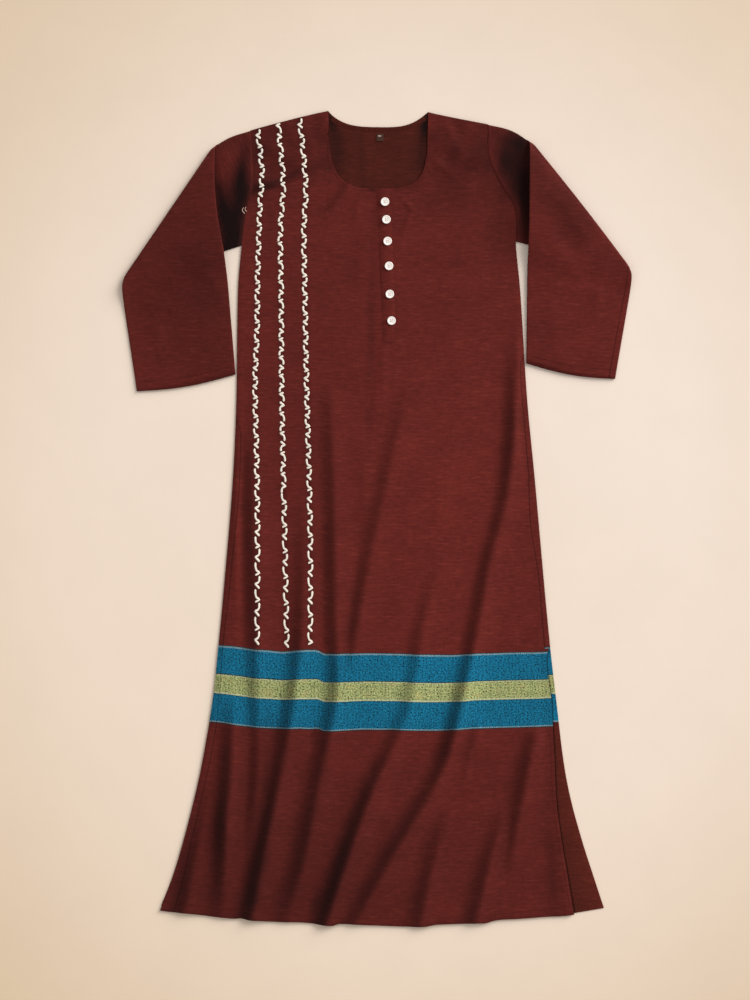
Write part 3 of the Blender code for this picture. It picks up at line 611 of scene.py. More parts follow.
class Curve:
    """One column of a table against another, both in millimetres, read in metres."""

    def __init__(self, rows, column, against="down"):
        self.at = [getattr(row, against) for row in rows]
        self.values = [getattr(row, column) for row in rows]
        self.slopes = []
        for k in range(len(rows)):
            low, high = max(k - 1, 0), min(k + 1, len(rows) - 1)
            rise = self.values[high] - self.values[low]
            self.slopes.append(rise / (self.at[high] - self.at[low]))

    def __call__(self, metres):
        key = min(max(metres / MM, self.at[0]), self.at[-1])
        k = min(bisect.bisect_right(self.at, key), len(self.at) - 1) - 1
        span = self.at[k + 1] - self.at[k]
        t = (key - self.at[k]) / span
        s = 1.0 - t
        bend = s * self.slopes[k] - t * self.slopes[k + 1]
        step = self.values[k + 1] - self.values[k]
        turn = t * s * span * bend + t * s * (t - s) * step
        return (mix(self.values[k], self.values[k + 1], t) + turn) * MM


LEFT, RIGHT = Curve(SIDES, "left"), Curve(SIDES, "right")
SLIT_INSET = Curve(SLIT, "inset")
SEAM_INSETS = (Curve(SEAM_LEFT, "inset"), Curve(SEAM_RIGHT, "inset"))
HEM_DROP = Curve(RIPPLES, "drop", "x")
STRIPES = [Curve(rows, "x") for rows in EMBROIDERY]
SPRIG_LONG = Curve(SPRIG_TALL, "tall")
BORDER_LIE = Curve(BORDER_LINE, "down", "x")
BORDER_LIES_DEEP = Curve(BORDER_LINE, "deep", "x")
PLACKET_EDGES = (Curve(PLACKET, "left"), Curve(PLACKET, "right"))
FOLD_CURVES = [(fold[0].down * MM, Curve(fold, "x"), Curve(fold, "high")) for fold in FOLDS]


def patched(rows, x, down):
    """Sum of a table's soft patches at a point."""
    total = 0.0
    for patch in rows:
        across = x / MM - patch.x
        along = down / MM - patch.down
        reach = PATCH_REACH * max(patch.long, patch.wide * patch.tail)
        if abs(across) > reach or abs(along) > reach:
            continue
        turn = math.radians(patch.turn)
        cos, sin = math.cos(turn), math.sin(turn)
        a = (across * cos + along * sin) / patch.long
        b = (along * cos - across * sin) / patch.wide
        if b > 0.0:
            b /= patch.tail
        total += patch.much * math.exp(-a * a - b * b)
    return total


def in_yoke(down):
    """1 in the yokes, fading to 0 on the chest."""
    return 1.0 - ease_over(down, YOKE_DOWN)


def shoulder(x):
    """Distance down to the shoulder line at x."""
    left_point, right_point = NECK_MIDDLE - NECK_LEFT, NECK_MIDDLE + NECK_RIGHT
    if x < NECK_MIDDLE:
        run = (left_point - x) / (left_point - SHOULDER_LEFT)
        return SHOULDER_DROP_LEFT * max(run, 0.0) ** SHOULDER_BOW_LEFT
    run = (x - right_point) / (SHOULDER_RIGHT - right_point)
    return NECK_TILT + (SHOULDER_DROP_RIGHT - NECK_TILT) * max(run, 0.0) ** SHOULDER_BOW_RIGHT


def neck_point(share, drop):
    """A point of a neckline, from the left neck point at -1 to the right one at 1."""
    half = NECK_RIGHT if share > 0.0 else NECK_LEFT
    return NECK_MIDDLE + half * share, drop + NECK_TILT * 0.5 * (share + 1.0)


def front_neck(share):
    power = FRONT_NECK_ROUND_RIGHT if share > 0.0 else FRONT_NECK_ROUND_LEFT
    return neck_point(share, FRONT_NECK_DROP * (1.0 - abs(share) ** power) ** (1.0 / power))


def back_neck(share):
    full = BACK_NECK_FULL_LEFT if share < 0.0 else BACK_NECK_FULL_RIGHT
    return neck_point(share, BACK_NECK_DROP * (1.0 - abs(share) ** BACK_NECK_ROUND) ** full)


def front_right(down):
    """The front's right edge: the body's outline, then the free edge of the slit."""
    return RIGHT(down) - SLIT_INSET(down)


def hem_curve(x, right_x, right_rise):
    """Distance down to a hem, lowest at one point and higher at its corners."""
    corner, rise = (HEM_LEFT_X, HEM_RISE_LEFT) if x < HEM_LOW_X else (right_x, right_rise)
    return HEM_DOWN - rise * ((x - HEM_LOW_X) / (corner - HEM_LOW_X)) ** 2


def front_hem(x):
    return hem_curve(x, FRONT_HEM_RIGHT_X, FRONT_HEM_RISE_RIGHT)


def back_hem(x):
    shorter = BACK_HEM_SHORTER * (1.0 - ease_over(x, BACK_HEM_LEVEL))
    return hem_curve(x, BACK_HEM_RIGHT_X, BACK_HEM_RISE_RIGHT) - shorter


def grid_area(grid):
    """Area of a grid of points that lies flat."""
    return sum(0.5 * abs((lower[k + 1] - upper[k]).cross(upper[k + 1] - lower[k]))
               for upper, lower in zip(grid, grid[1:]) for k in range(len(upper) - 1))


class Panel:
    """The plan of one body panel, as columns from its top edge to its hem, and rows."""

    def __init__(self, neck, right_edge, hem, columns, skirt_rows):
        self.right_edge = right_edge
        self.hem = hem
        self.skirt_rows = skirt_rows
        self.rows = YOKE_ROWS + skirt_rows
        self.tops = self.top_edge(neck, *columns)
        self.columns = len(self.tops) - 1

    @staticmethod
    def top_edge(neck, left, middle, right):
        """Points of the top edge: left shoulder, neckline, right shoulder."""
        left_xs = (mix(SHOULDER_LEFT, NECK_MIDDLE - NECK_LEFT, k / left) for k in range(left))
        points = [(x, shoulder(x)) for x in left_xs]
        for k in range(middle + 1):
            share = 2.0 * k / middle - 1.0
            points.append(neck(mix(share, math.sin(0.5 * math.pi * share), NECK_EVEN)))
        right_xs = (mix(NECK_MIDDLE + NECK_RIGHT, SHOULDER_RIGHT, k / right)
                    for k in range(1, right + 1))
        return points + [(x, shoulder(x)) for x in right_xs]

    def place(self, column, row):
        """Plan of one grid point: x and the distance down, in metres."""
        top_x, top_down = self.tops[column]
        top_share = (top_x - SHOULDER_LEFT) / (SHOULDER_RIGHT - SHOULDER_LEFT)
        underarm = mix(UNDERARM_LEFT, UNDERARM_RIGHT, top_share)
        if row <= YOKE_ROWS:
            down = mix(top_down, underarm, row / YOKE_ROWS)
            return self.across(top_share, down), down
        run = (row - YOKE_ROWS) / self.skirt_rows
        share = mix(top_share, column / self.columns, ease(2.0 * run))
        down = mix(underarm, self.hem(mix(HEM_LEFT_X, self.right_edge(HEM_DOWN), share)), run)
        return self.across(share, down), down

    def across(self, share, down):
        """x of a column: the armholes bend only the columns near them."""
        power = mix(ARMHOLE_BEND, 1.0, ease_over(down, ARMHOLE_FADES))
        left_move = LEFT(down) - SHOULDER_LEFT
        right_move = self.right_edge(down) - SHOULDER_RIGHT
        x = mix(SHOULDER_LEFT, SHOULDER_RIGHT, share)
        return x + left_move * (1.0 - share) ** power + right_move * share ** power

    def cut(self):
        """Width, length and area of the panel laid flat, in metres."""
        grid = [[Vector(self.place(column, row)) for column in range(self.columns + 1)]
                for row in range(self.rows + 1)]
        xs, ys = ([point[axis] for row in grid for point in row] for axis in (0, 1))
        return max(xs) - min(xs), max(ys) - min(ys), grid_area(grid)


FRONT = Panel(front_neck, front_right, front_hem, FRONT_COLUMNS, FRONT_SKIRT_ROWS)
BACK = Panel(back_neck, RIGHT, back_hem, BACK_COLUMNS, BACK_SKIRT_ROWS)
TOP_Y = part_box("front_panel")[1].y
MIDDLE_X = 0.5 * (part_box("label")[0].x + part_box("label")[1].x) - LABEL_X
UP = Vector((0.0, 0.0, 1.0))


def world(x, down, z):
    return Vector((MIDDLE_X + x, TOP_Y - down, z))


def fold_at(fold, x, down):
    """Height of one fold at a point, and the painted shade of its hollow there."""
    starts, crest_x, crest_high = fold
    if down <= starts:
        return 0.0, 0.0
    off = x - crest_x(down)
    wide = HOLLOW_HALF
    if off < -HOLLOW_OFF:
        wide = mix(HOLLOW_HALF, HOLLOW_WIDE, ease_over(down, HOLLOW_WIDENS))
    if not -HOLLOW_OFF - wide < off < FOLD_EASY:
        return 0.0, 0.0
    high = max(crest_high(down), 0.0)
    reach = FOLD_STEEP if off < 0.0 else FOLD_EASY
    share = max(1.0 - (math.hypot(off, FOLD_ROUND) - FOLD_ROUND) / reach, 0.0)
    dip = math.cos(0.5 * math.pi * min(abs(off + HOLLOW_OFF) / wide, 1.0)) ** 2
    shade = dip * ease(0.5 - (off - HOLLOW_OVER) / (2.0 * FOLD_ROUND))
    return high * share ** 2, high / HOLLOW_FULL * shade


def hollow(x, down):
    """How deeply shade is painted on a point on the steep side of a fold, from 0 up."""
    return max(fold_at(fold, x, down)[1] for fold in FOLD_CURVES)


def seam_inside(x, down):
    """How far a point of the front lies inside the nearer side seam, where that shows."""
    to_left = x - LEFT(down) - SEAM_INSETS[0](down)
    to_right = RIGHT(down) - SEAM_INSETS[1](down) - x
    if down > SLIT_TOP + SLIT_SEWN:
        to_right = 1.0
    to_left += SEAM_AWAY * near(down - SEAM_STARTS[0], SEAM_FADE)
    to_right += SEAM_AWAY * near(down - SEAM_STARTS[1], SEAM_FADE)
    return min(to_left, to_right)


def noise_at(*place):
    """Even noise at a place in it, from -1 to 1."""
    return noise.noise(Vector(place))


def unevenness(x, down):
    """Broad waves and a finer crumple, from even noise."""
    broad = noise_at(x / WAVE_LONG, WAVE_STRETCH * down / WAVE_LONG, WAVE_SLICE)
    fine = noise_at(x / CRUMPLE_LONG, CRUMPLE_STRETCH * down / CRUMPLE_LONG, CRUMPLE_SLICE)
    crumple = CRUMPLE_HIGH * (1.0 + YOKE_CRUMPLE * in_yoke(down)) * fine
    return WAVE_HIGH * (broad + WAVE_RAISE) + crumple


def relief(x, down):
    """Height of the front above its flat lie: its folds, creases and turned edges."""
    high = max(fold_at(fold, x, down)[0] for fold in FOLD_CURVES)
    to_hem = front_hem(x) - down
    high *= bpy.context.scene.kurta_cloth.folds * mix(0.5, 1.0, ease(to_hem / HEM_LOW_RUN))
    border = min(x - LEFT(down), front_right(down) - x)
    high *= ease((border - FOLD_EDGE_FLAT) / FOLD_EDGE_FADE)
    high += patched(FRONT_CREASES, x, down) * MM * ease(border / CREASE_EDGE)
    high += max(unevenness(x, down), 0.0) * ease(border / FOLD_EDGE_FADE)
    high += HEM_STEP * near(to_hem - HEM_FOLD, HEM_STEP_RUN)
    if UNDERARM_RIGHT < down < SLIT_TOP:
        high -= SEWN_SINK * near(border, SEWN_RUN) * ease((down - UNDERARM_RIGHT) / SEWN_STARTS)
    return high


def front_face(x, down):
    """A point of the front's outer face."""
    return world(x, down, LAYER + CLOTH + relief(x, down))


def placket_face(x, down):
    return world(x, down, 2.0 * LAYER + CLOTH + relief(x, down))


def front_up(x, down):
    """The way up from the front's face."""
    step = 1.5 * MM
    across = front_face(x + step, down) - front_face(x - step, down)
    along = front_face(x, down - step) - front_face(x, down + step)
    return across.cross(along).normalized()


def weft_down(x, down):
    """Where a point lies along the cut cloth: the border's line bends the wefts round it."""
    cut = down - (BORDER_LIE(x) - BORDER_TOP) * ease_over(down, BORDER_BENDS)
    deep = BORDER_LIES_DEEP(x)
    inside = min(max((cut - BORDER_TOP) / deep, 0.0), 1.0)
    return cut + inside * (BORDER_DEEP - deep)


def painted_shading_from(rows, x, down, least=PAINTED_SHADING_LEAST):
    """Painted shading after a table's patches: below 1 painted shade, above 1 painted light."""
    return max(1.0 + patched(rows, x, down), least)


def front_painted_shading(x, down):
    """Painted light and shade of the front: its patches, hollows and side edges."""
    shade = painted_shading_from(FRONT_PAINTED_SHADING, x, down) * (1.0 - HOLLOW_PAINTED_SHADE * min(hollow(x, down), HOLLOW_MOST))
    # painted shade beside the embroidery's stripes
    if down < EMBROIDERY[0][-1].down * MM:
        off = min(abs(x - stripe(down)) for stripe in STRIPES)
        shade *= 1.0 - STITCHED_PAINTED_SHADE * math.exp(-(off / STITCHED_HALF) ** 2)
    # mottled painted shade on the yokes, standing in for their small creases
    mottle = noise_at(x / MOTTLE_WIDE, down / MOTTLE_LONG, MOTTLE_SLICE)
    shade *= 1.0 + YOKE_PAINTED_MOTTLE * in_yoke(down) * mottle
    # painted shade beside the front's left and right edges, and along its hem
    body = ease_over(down, SIDE_SHADE_DOWN)
    left = near(x - LEFT(down) - LEFT_SHADE_IN, LEFT_SHADE_RUN) * body
    right = near(front_right(down) - x, RIGHT_SHADE_RUN) * body
    shade *= 1.0 - LEFT_SHADE * left * (1.0 - ease_over(down, LEFT_SHADE_ENDS))
    shade *= 1.0 - HEM_SHADE * near(front_hem(x) - down, HEM_SHADE_RUN)
    return shade * (1.0 - RIGHT_SHADE * right)


# dye multiplies the cloth's colour: below 1 painted shade, above 1 painted light
Spot = namedtuple("Spot", "point weave dye seam", defaults=(1.0, 1.0))


def placed(name, data):
    """An object in the scene, with its data."""
    made = bpy.data.objects.new(name, data)
    bpy.context.scene.collection.objects.link(made)
    return made


def meshed(bm, name):
    """An object in the scene from a bmesh, which is used up."""
    mesh = bpy.data.meshes.new(name)
    bm.to_mesh(mesh)
    bm.free()
    return placed(name, mesh)


def linked(bm, name, finishes):
    """A smooth shaded piece from a bmesh, with its materials."""
    piece = meshed(bm, name)
    for finish in finishes:
        piece.data.materials.append(finish)
    piece.data.shade_smooth()
    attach(piece, "root")
    return piece


def woven_grid(across, along, spot_of, wrong_from=None):
    """A bmesh grid of cloth, each point with its place, weave map, painted shading and seam.

    Rows past wrong_from take the second finish.
    """
    bm = bmesh.new()
    weave = bm.loops.layers.uv.new("cloth")
    dye = bm.verts.layers.float.new("dye")
    seam = bm.verts.layers.float.new("seam")
    bmesh.ops.create_grid(bm, x_segments=across, y_segments=along, size=0.5)
    maps, rows = {}, {}
    for vert in bm.verts:
        row = round((0.5 - vert.co.y) * along)
        spot = spot_of(round((vert.co.x + 0.5) * across), row)
        vert.co, vert[dye], vert[seam] = spot.point, spot.dye, spot.seam
        maps[vert], rows[vert] = spot.weave, row
    for face in bm.faces:
        if wrong_from is not None and min(rows[vert] for vert in face.verts) >= wrong_from:
            face.material_index = 1
        for loop in face.loops:
            loop[weave].uv = maps[loop.vert]
    return bm


def give_wall(piece, thick, under=0, rim=0):
    """A wall grown upwards from a sheet, with softly rounded cut edges."""
    wall = piece.modifiers.new("Wall", "SOLIDIFY")
    edge = piece.modifiers.new("Edge", "BEVEL")
    for modifier, settings in (
            (wall, {"thickness": thick, "offset": 1.0, "use_even_offset": True,
                    "use_quality_normals": True, "material_offset": under,
                    "material_offset_rim": rim}),
            (edge, {"width": 0.3 * thick, "segments": 2, "limit_method": "ANGLE",
                    "angle_limit": math.radians(60), "use_clamp_overlap": False,
                    "harden_normals": True})):
        for name, value in settings.items():
            setattr(modifier, name, value)


def add(tree, kind, inputs=(), out=0, **settings):
    """Add one shader node and give one of its outputs.

    inputs are its sockets' values or links, in order or by name; settings are its properties.
    """
    made = tree.nodes.new("ShaderNode" + kind)
    for name, value in settings.items():
        setattr(made, name, value)
    named = inputs if isinstance(inputs, dict) else dict(enumerate(inputs))
    for socket, value in named.items():
        if isinstance(value, bpy.types.NodeSocket):
            tree.links.new(value, made.inputs[socket])
        else:
            made.inputs[socket].default_value = value
    return made.outputs[out]


SMOOTH = {"interpolation_type": "SMOOTHSTEP"}
RGBA = {"data_type": "RGBA", "out": 2}       # of a mix node, with sockets 0, 6 and 7


def new_material(name, values):
    """A material with its shader's plain numbers set on the sockets, and its tree."""
    finish = bpy.data.materials.new(name)
    finish.use_nodes = True
    shader = finish.node_tree.nodes["Principled BSDF"]
    for socket, value in values.items():
        shader.inputs[socket].default_value = value
    return finish, finish.node_tree


def surfaced(finish, colour, height=None, deep=MM, strength=1.0):
    """The material with its colour, and with its fine relief, deep for a height of 1."""
    tree = finish.node_tree
    shader = tree.nodes["Principled BSDF"]
    tree.links.new(colour, shader.inputs["Base Color"])
    if height is not None:
        raised = add(tree, "Bump", {"Height": height, "Distance": deep, "Strength": strength})
        tree.links.new(raised, shader.inputs["Normal"])
    return finish


# Unevenness of handloom yarn, in millimetres across and along, and its fineness
GRAINS = table(
    "kind across along detail",
    ("slub", 22.0, 3.2, 3.0),       # thick places in the weft
    ("weft", 9.0, 3.0, 2.0),        # single wefts, which are 0.5 mm, drawn coarser to show
    ("warp", 1.2, 26.0, 2.0),       # warps in the same way
    ("mottle", 70.0, 34.0, 2.0),    # uneven take-up of dye
    ("float", 2.3, 2.0, 1.0),       # inlaid border yarns
    ("patch", 17.0, 11.0, 1.0),     # shade changes in the border
)
TIE_ACROSS, TIE_ALONG = 5.6 * MM, 4.8 * MM   # spacing of the border's dark ties
DASH_LONG = 2.9 * MM                         # pitch of the pale picks
GROOVE_HALF = 1.7 * MM                       # half width of a seam's groove


def cotton(name, looks, ground, streak, groove_and_shadow):
    """Handloom cotton in plain weave, piece-dyed, with a border inlaid in brighter yarn.

    Dull, with a faint bloom at low angles. Thick places in the weft give short lighter
    streaks, and the border has small floats, dark ties and a row of pale picks at each edge.
    """
    finish, tree = new_material(name, {
        "Roughness": 0.88, "Specular IOR Level": 0.12, "Sheen Weight": 0.10,
        "Sheen Roughness": 0.45, "Sheen Tint": (0.9, 0.62, 0.55, 1.0)})
    weave = add(tree, "UVMap", uv_map="cloth")
    dye = add(tree, "Attribute", out="Fac", attribute_name="dye")
    seam = add(tree, "Attribute", out="Fac", attribute_name="seam")
    across, along = add(tree, "SeparateXYZ", [weave]).node.outputs[:2]
    beyond = add(tree, "Math", [seam, 0.0], operation="LESS_THAN")
    right = add(tree, "Math", [across, 0.0], operation="GREATER_THAN")
    back = add(tree, "Math", [beyond, right], operation="MULTIPLY")
    down = add(tree, "Math", [back, BORDER_STEP, along], operation="MULTIPLY_ADD")
    cut = add(tree, "CombineXYZ", [across, down])

    grain = {}
    for row in GRAINS:
        scale = (1.0 / (row.across * MM), 1.0 / (row.along * MM), 1.0)
        size = add(tree, "Mapping", {"Vector": cut, "Scale": scale})
        grain[row.kind] = add(tree, "TexNoise", {"Vector": size, "Scale": 1.0,
                                                 "Detail": row.detail}, noise_dimensions="2D")

    # Ground: depth of shade from the yarns, then streaks of the lighter thick places
    shade = 0.26
    for kind, much in (("slub", 0.38), ("weft", 0.54), ("warp", 0.22), ("mottle", 0.34)):
        shade = add(tree, "Math", [grain[kind], much, shade], operation="MULTIPLY_ADD")
    thick = add(tree, "MapRange", [grain["slub"], 0.54, 0.8, 0.0, 0.2], **SMOOTH)
    plain = add(tree, "Mix", {0: thick, 6: (*ground, 1.0), 7: (*streak, 1.0)}, **RGBA)
    plain = add(tree, "VectorMath", {"Vector": plain, "Scale": shade}, operation="SCALE")

    # Border: stripes by the distance down, then floats, ties and patches of shade
    start, end = BORDER_SPAN
    share = add(tree, "MapRange", [down, start, end])
    yarns = {"ground": (0.0, 0.0, 0.0, 0.0), "shade": (*linear("#1E2A30"), 1.0),
             "teal": (*looks.teal, 1.0), "lime": (*looks.lime, 1.0)}
    stripes = [(at, yarns[yarn]) for at, yarn in BORDER]
    picks = [(0.0, (0.0, 0.0, 0.0, 1.0))]
    for first, last, much in PICKS:
        picks += [(first, (much, much, much, 1.0)), (last, (0.0, 0.0, 0.0, 1.0))]
    ramps = []
    for steps in (stripes, picks):
        ramps.append(add(tree, "ValToRGB", [share]).node)
        ramp = ramps[-1].color_ramp
        ramp.interpolation = "CONSTANT"
        ramp.elements.remove(ramp.elements[1])
        ramp.elements[0].color = steps[0][1]
        for at, colour in steps[1:]:
            ramp.elements.new((at * MM - start) / (end - start)).color = colour
    inlay, inlaid = ramps[0].outputs
    pink = add(tree, "MapRange", [grain["patch"], 0.5, 0.75, 0.0, 0.35], **SMOOTH)
    border = add(tree, "Mix", {0: pink, 6: inlay, 7: (0.95, 0.62, 0.60, 1.0)},
                 blend_type="MULTIPLY", **RGBA)
    ties = add(tree, "Mapping", {"Vector": cut, "Scale": (1.0 / TIE_ACROSS, 1.0 / TIE_ALONG, 1.0)})
    ties = add(tree, "TexVoronoi", {"Vector": ties, "Scale": 1.0, "Randomness": 0.6},
               voronoi_dimensions="2D")
    bright = add(tree, "MapRange", [ties, 0.06, 0.30, -1.35, -0.71], **SMOOTH)
    for kind, much in (("float", 2.4), ("warp", 0.8), ("patch", 0.5)):
        bright = add(tree, "Math", [grain[kind], much, bright], operation="MULTIPLY_ADD")
    border = add(tree, "VectorMath", {"Vector": border, "Scale": bright}, operation="SCALE")
    dash = add(tree, "Math", [across, 2.0 * math.pi / DASH_LONG], operation="MULTIPLY")
    dash = add(tree, "Math", [grain["float"], 5.0, dash], operation="MULTIPLY_ADD")
    dash = add(tree, "Math", [dash], operation="SINE")
    dash = add(tree, "MapRange", [dash, -0.5, 0.6, 0.35, 0.8], **SMOOTH)
    dash = add(tree, "Math", [dash, ramps[1].outputs[0]], operation="MULTIPLY")
    border = add(tree, "Mix", {0: dash, 6: border, 7: (*looks.picks, 1.0)}, **RGBA)
    colour = add(tree, "Mix", {0: inlaid, 6: plain, 7: border}, **RGBA)

    # Seam: a narrow dark groove, also drawn beside the slit as a painted shadow; then the painted
    # light and shade over everything
    groove = add(tree, "Math", [seam], operation="ABSOLUTE")
    groove = add(tree, "MapRange", [groove, 0.0, GROOVE_HALF, 1.0, 0.0], **SMOOTH)
    depth = add(tree, "Math", [groove, -groove_and_shadow, 1.0], operation="MULTIPLY_ADD")
    depth = add(tree, "Math", [depth, dye], operation="MULTIPLY")
    colour = add(tree, "VectorMath", {"Vector": colour, "Scale": depth}, operation="SCALE")

    # Height of the yarns in millimetres, with the seam's groove
    floats = add(tree, "Math", [inlaid, bright], operation="MULTIPLY")
    height = 0.0
    for raised, much in ((groove, -0.35), (grain["slub"], 0.22), (grain["weft"], 0.12),
                         (grain["warp"], 0.06), (floats, 0.14)):
        height = add(tree, "Math", [raised, much, height], operation="MULTIPLY_ADD")
    return surfaced(finish, colour, height)


def thread_material(name, colour, lines, rough, painted_hollow_shade):
    """Twisted or laid thread: fine ridges across its run, with painted shade in the hollows between
    them.
    """
    finish, tree = new_material(name, {"Roughness": rough, "Specular IOR Level": 0.12})
    run = add(tree, "Attribute", out="Fac", attribute_name="along")
    at = add(tree, "TexCoord", out="Object")
    stray = add(tree, "TexNoise", {"Vector": at, "Scale": 400.0, "Detail": 2.0})
    turns = add(tree, "Math", [run, 2.0 * math.pi / lines], operation="MULTIPLY")
    turns = add(tree, "Math", [stray, 6.0, turns], operation="MULTIPLY_ADD")
    ridge = add(tree, "Math", [turns], operation="SINE")
    # painted shade in the hollows between the ridges, with uneven wear below
    lit = add(tree, "MapRange", [ridge, -1.0, 1.0, painted_hollow_shade, 1.0])
    worn = add(tree, "MapRange", [stray, 0.3, 0.7, 0.94, 1.06])
    lit = add(tree, "Math", [lit, worn], operation="MULTIPLY")
    shown = add(tree, "VectorMath", {"Vector": tuple(colour), "Scale": lit}, operation="SCALE")
    return surfaced(finish, shown, ridge, 0.06 * MM)


def button_material(looks):
    """Cast polyester, turned and polished: white, glossy, with a faint pearly cloudiness."""
    finish, tree = new_material("polished white polyester", {
        "Roughness": 0.22, "IOR": 1.56, "Coat Weight": 0.3, "Coat Roughness": 0.1})
    at = add(tree, "TexCoord", out="Object")
    cloud = add(tree, "TexNoise", {"Vector": at, "Scale": 260.0, "Detail": 3.0})
    pearl = [part * 0.97 for part in looks.button]
    shown = add(tree, "Mix", {0: cloud, 6: (*pearl, 1.0), 7: (*looks.button, 1.0)}, **RGBA)
    scratch = add(tree, "TexNoise", {"Vector": at, "Scale": 2400.0})
    return surfaced(finish, shown, scratch, 0.01 * MM, 0.6)


def label_material():
    """Brown-black woven tape: close ribs with a slight gloss, bare but for a plain pale bar."""
    finish, tree = new_material("brown-black woven tape",
                                {"Roughness": 0.7, "Specular IOR Level": 0.15})
    at = add(tree, "TexCoord", out="Object")
    ribs = add(tree, "TexWave", {"Vector": at, "Scale": 700.0, "Distortion": 0.6}, "Fac",
               bands_direction="DIAGONAL")
    tape = add(tree, "Mix", {0: ribs, 6: (*linear("#352018"), 1.0),
                             7: (*linear("#472E22"), 1.0)}, **RGBA)
    weave = add(tree, "UVMap", uv_map="cloth")
    bar = add(tree, "VectorMath", [weave, (*BAR_MIDDLE, 0.0)], operation="SUBTRACT")
    bar = add(tree, "VectorMath", [bar, (*BAR_HALF, 1.0)], operation="DIVIDE")
    bar = add(tree, "VectorMath", [bar], "Value", operation="LENGTH")
    bar = add(tree, "MapRange", [bar, 0.5, 1.1, 1.0, 0.0], **SMOOTH)
    shown = add(tree, "Mix", {0: bar, 6: tape, 7: (*linear("#B8A599"), 1.0)}, **RGBA)
    return surfaced(finish, shown, ribs, 0.05 * MM)


def floor_material(stage):
    """Matt seamless paper, pale and plain, with painted falloff of light: deeper and warmer away
    from the middle.
    """
    finish, tree = new_material("matt seamless paper",
                                {"Roughness": 0.9, "Specular IOR Level": 0.1})
    at = add(tree, "TexCoord", out="Object")
    # painted falloff of light: the floor darkens away from a middle near the garment
    away = add(tree, "Mapping", {"Vector": at, "Location": (-0.01, 0.055, 0.0),
                                 "Scale": (1.0, 0.9, 1.0)})
    away = add(tree, "VectorMath", [away], "Value", operation="LENGTH")
    away = add(tree, "MapRange", [away, 0.42, 1.0], **SMOOTH)
    fibre = add(tree, "TexNoise", {"Vector": at, "Scale": 9.0, "Detail": 6.0, "Roughness": 0.65})
    cloud = add(tree, "MapRange", [fibre, 0.3, 0.7, 0.985, 1.015])
    shown = add(tree, "Mix", {0: away, 6: (*stage.floor, 1.0),
                              7: (*stage.floor_falloff, 1.0)}, **RGBA)
    shown = add(tree, "VectorMath", {"Vector": shown, "Scale": cloud}, operation="SCALE")
    # painted tint of the light, warmer to the lower left and cooler to the upper right
    aslant = add(tree, "VectorMath", [at, (0.6, 0.8, 0.0)], "Value", operation="DOT_PRODUCT")
    aslant = add(tree, "MapRange", [aslant, -0.8, 0.8])
    tint = add(tree, "Mix", {0: aslant, 6: (0.99, 0.955, 0.90, 1.0),
                             7: (1.01, 1.03, 1.09, 1.0)}, **RGBA)
    return surfaced(finish, add(tree, "VectorMath", [shown, tint], operation="MULTIPLY"))


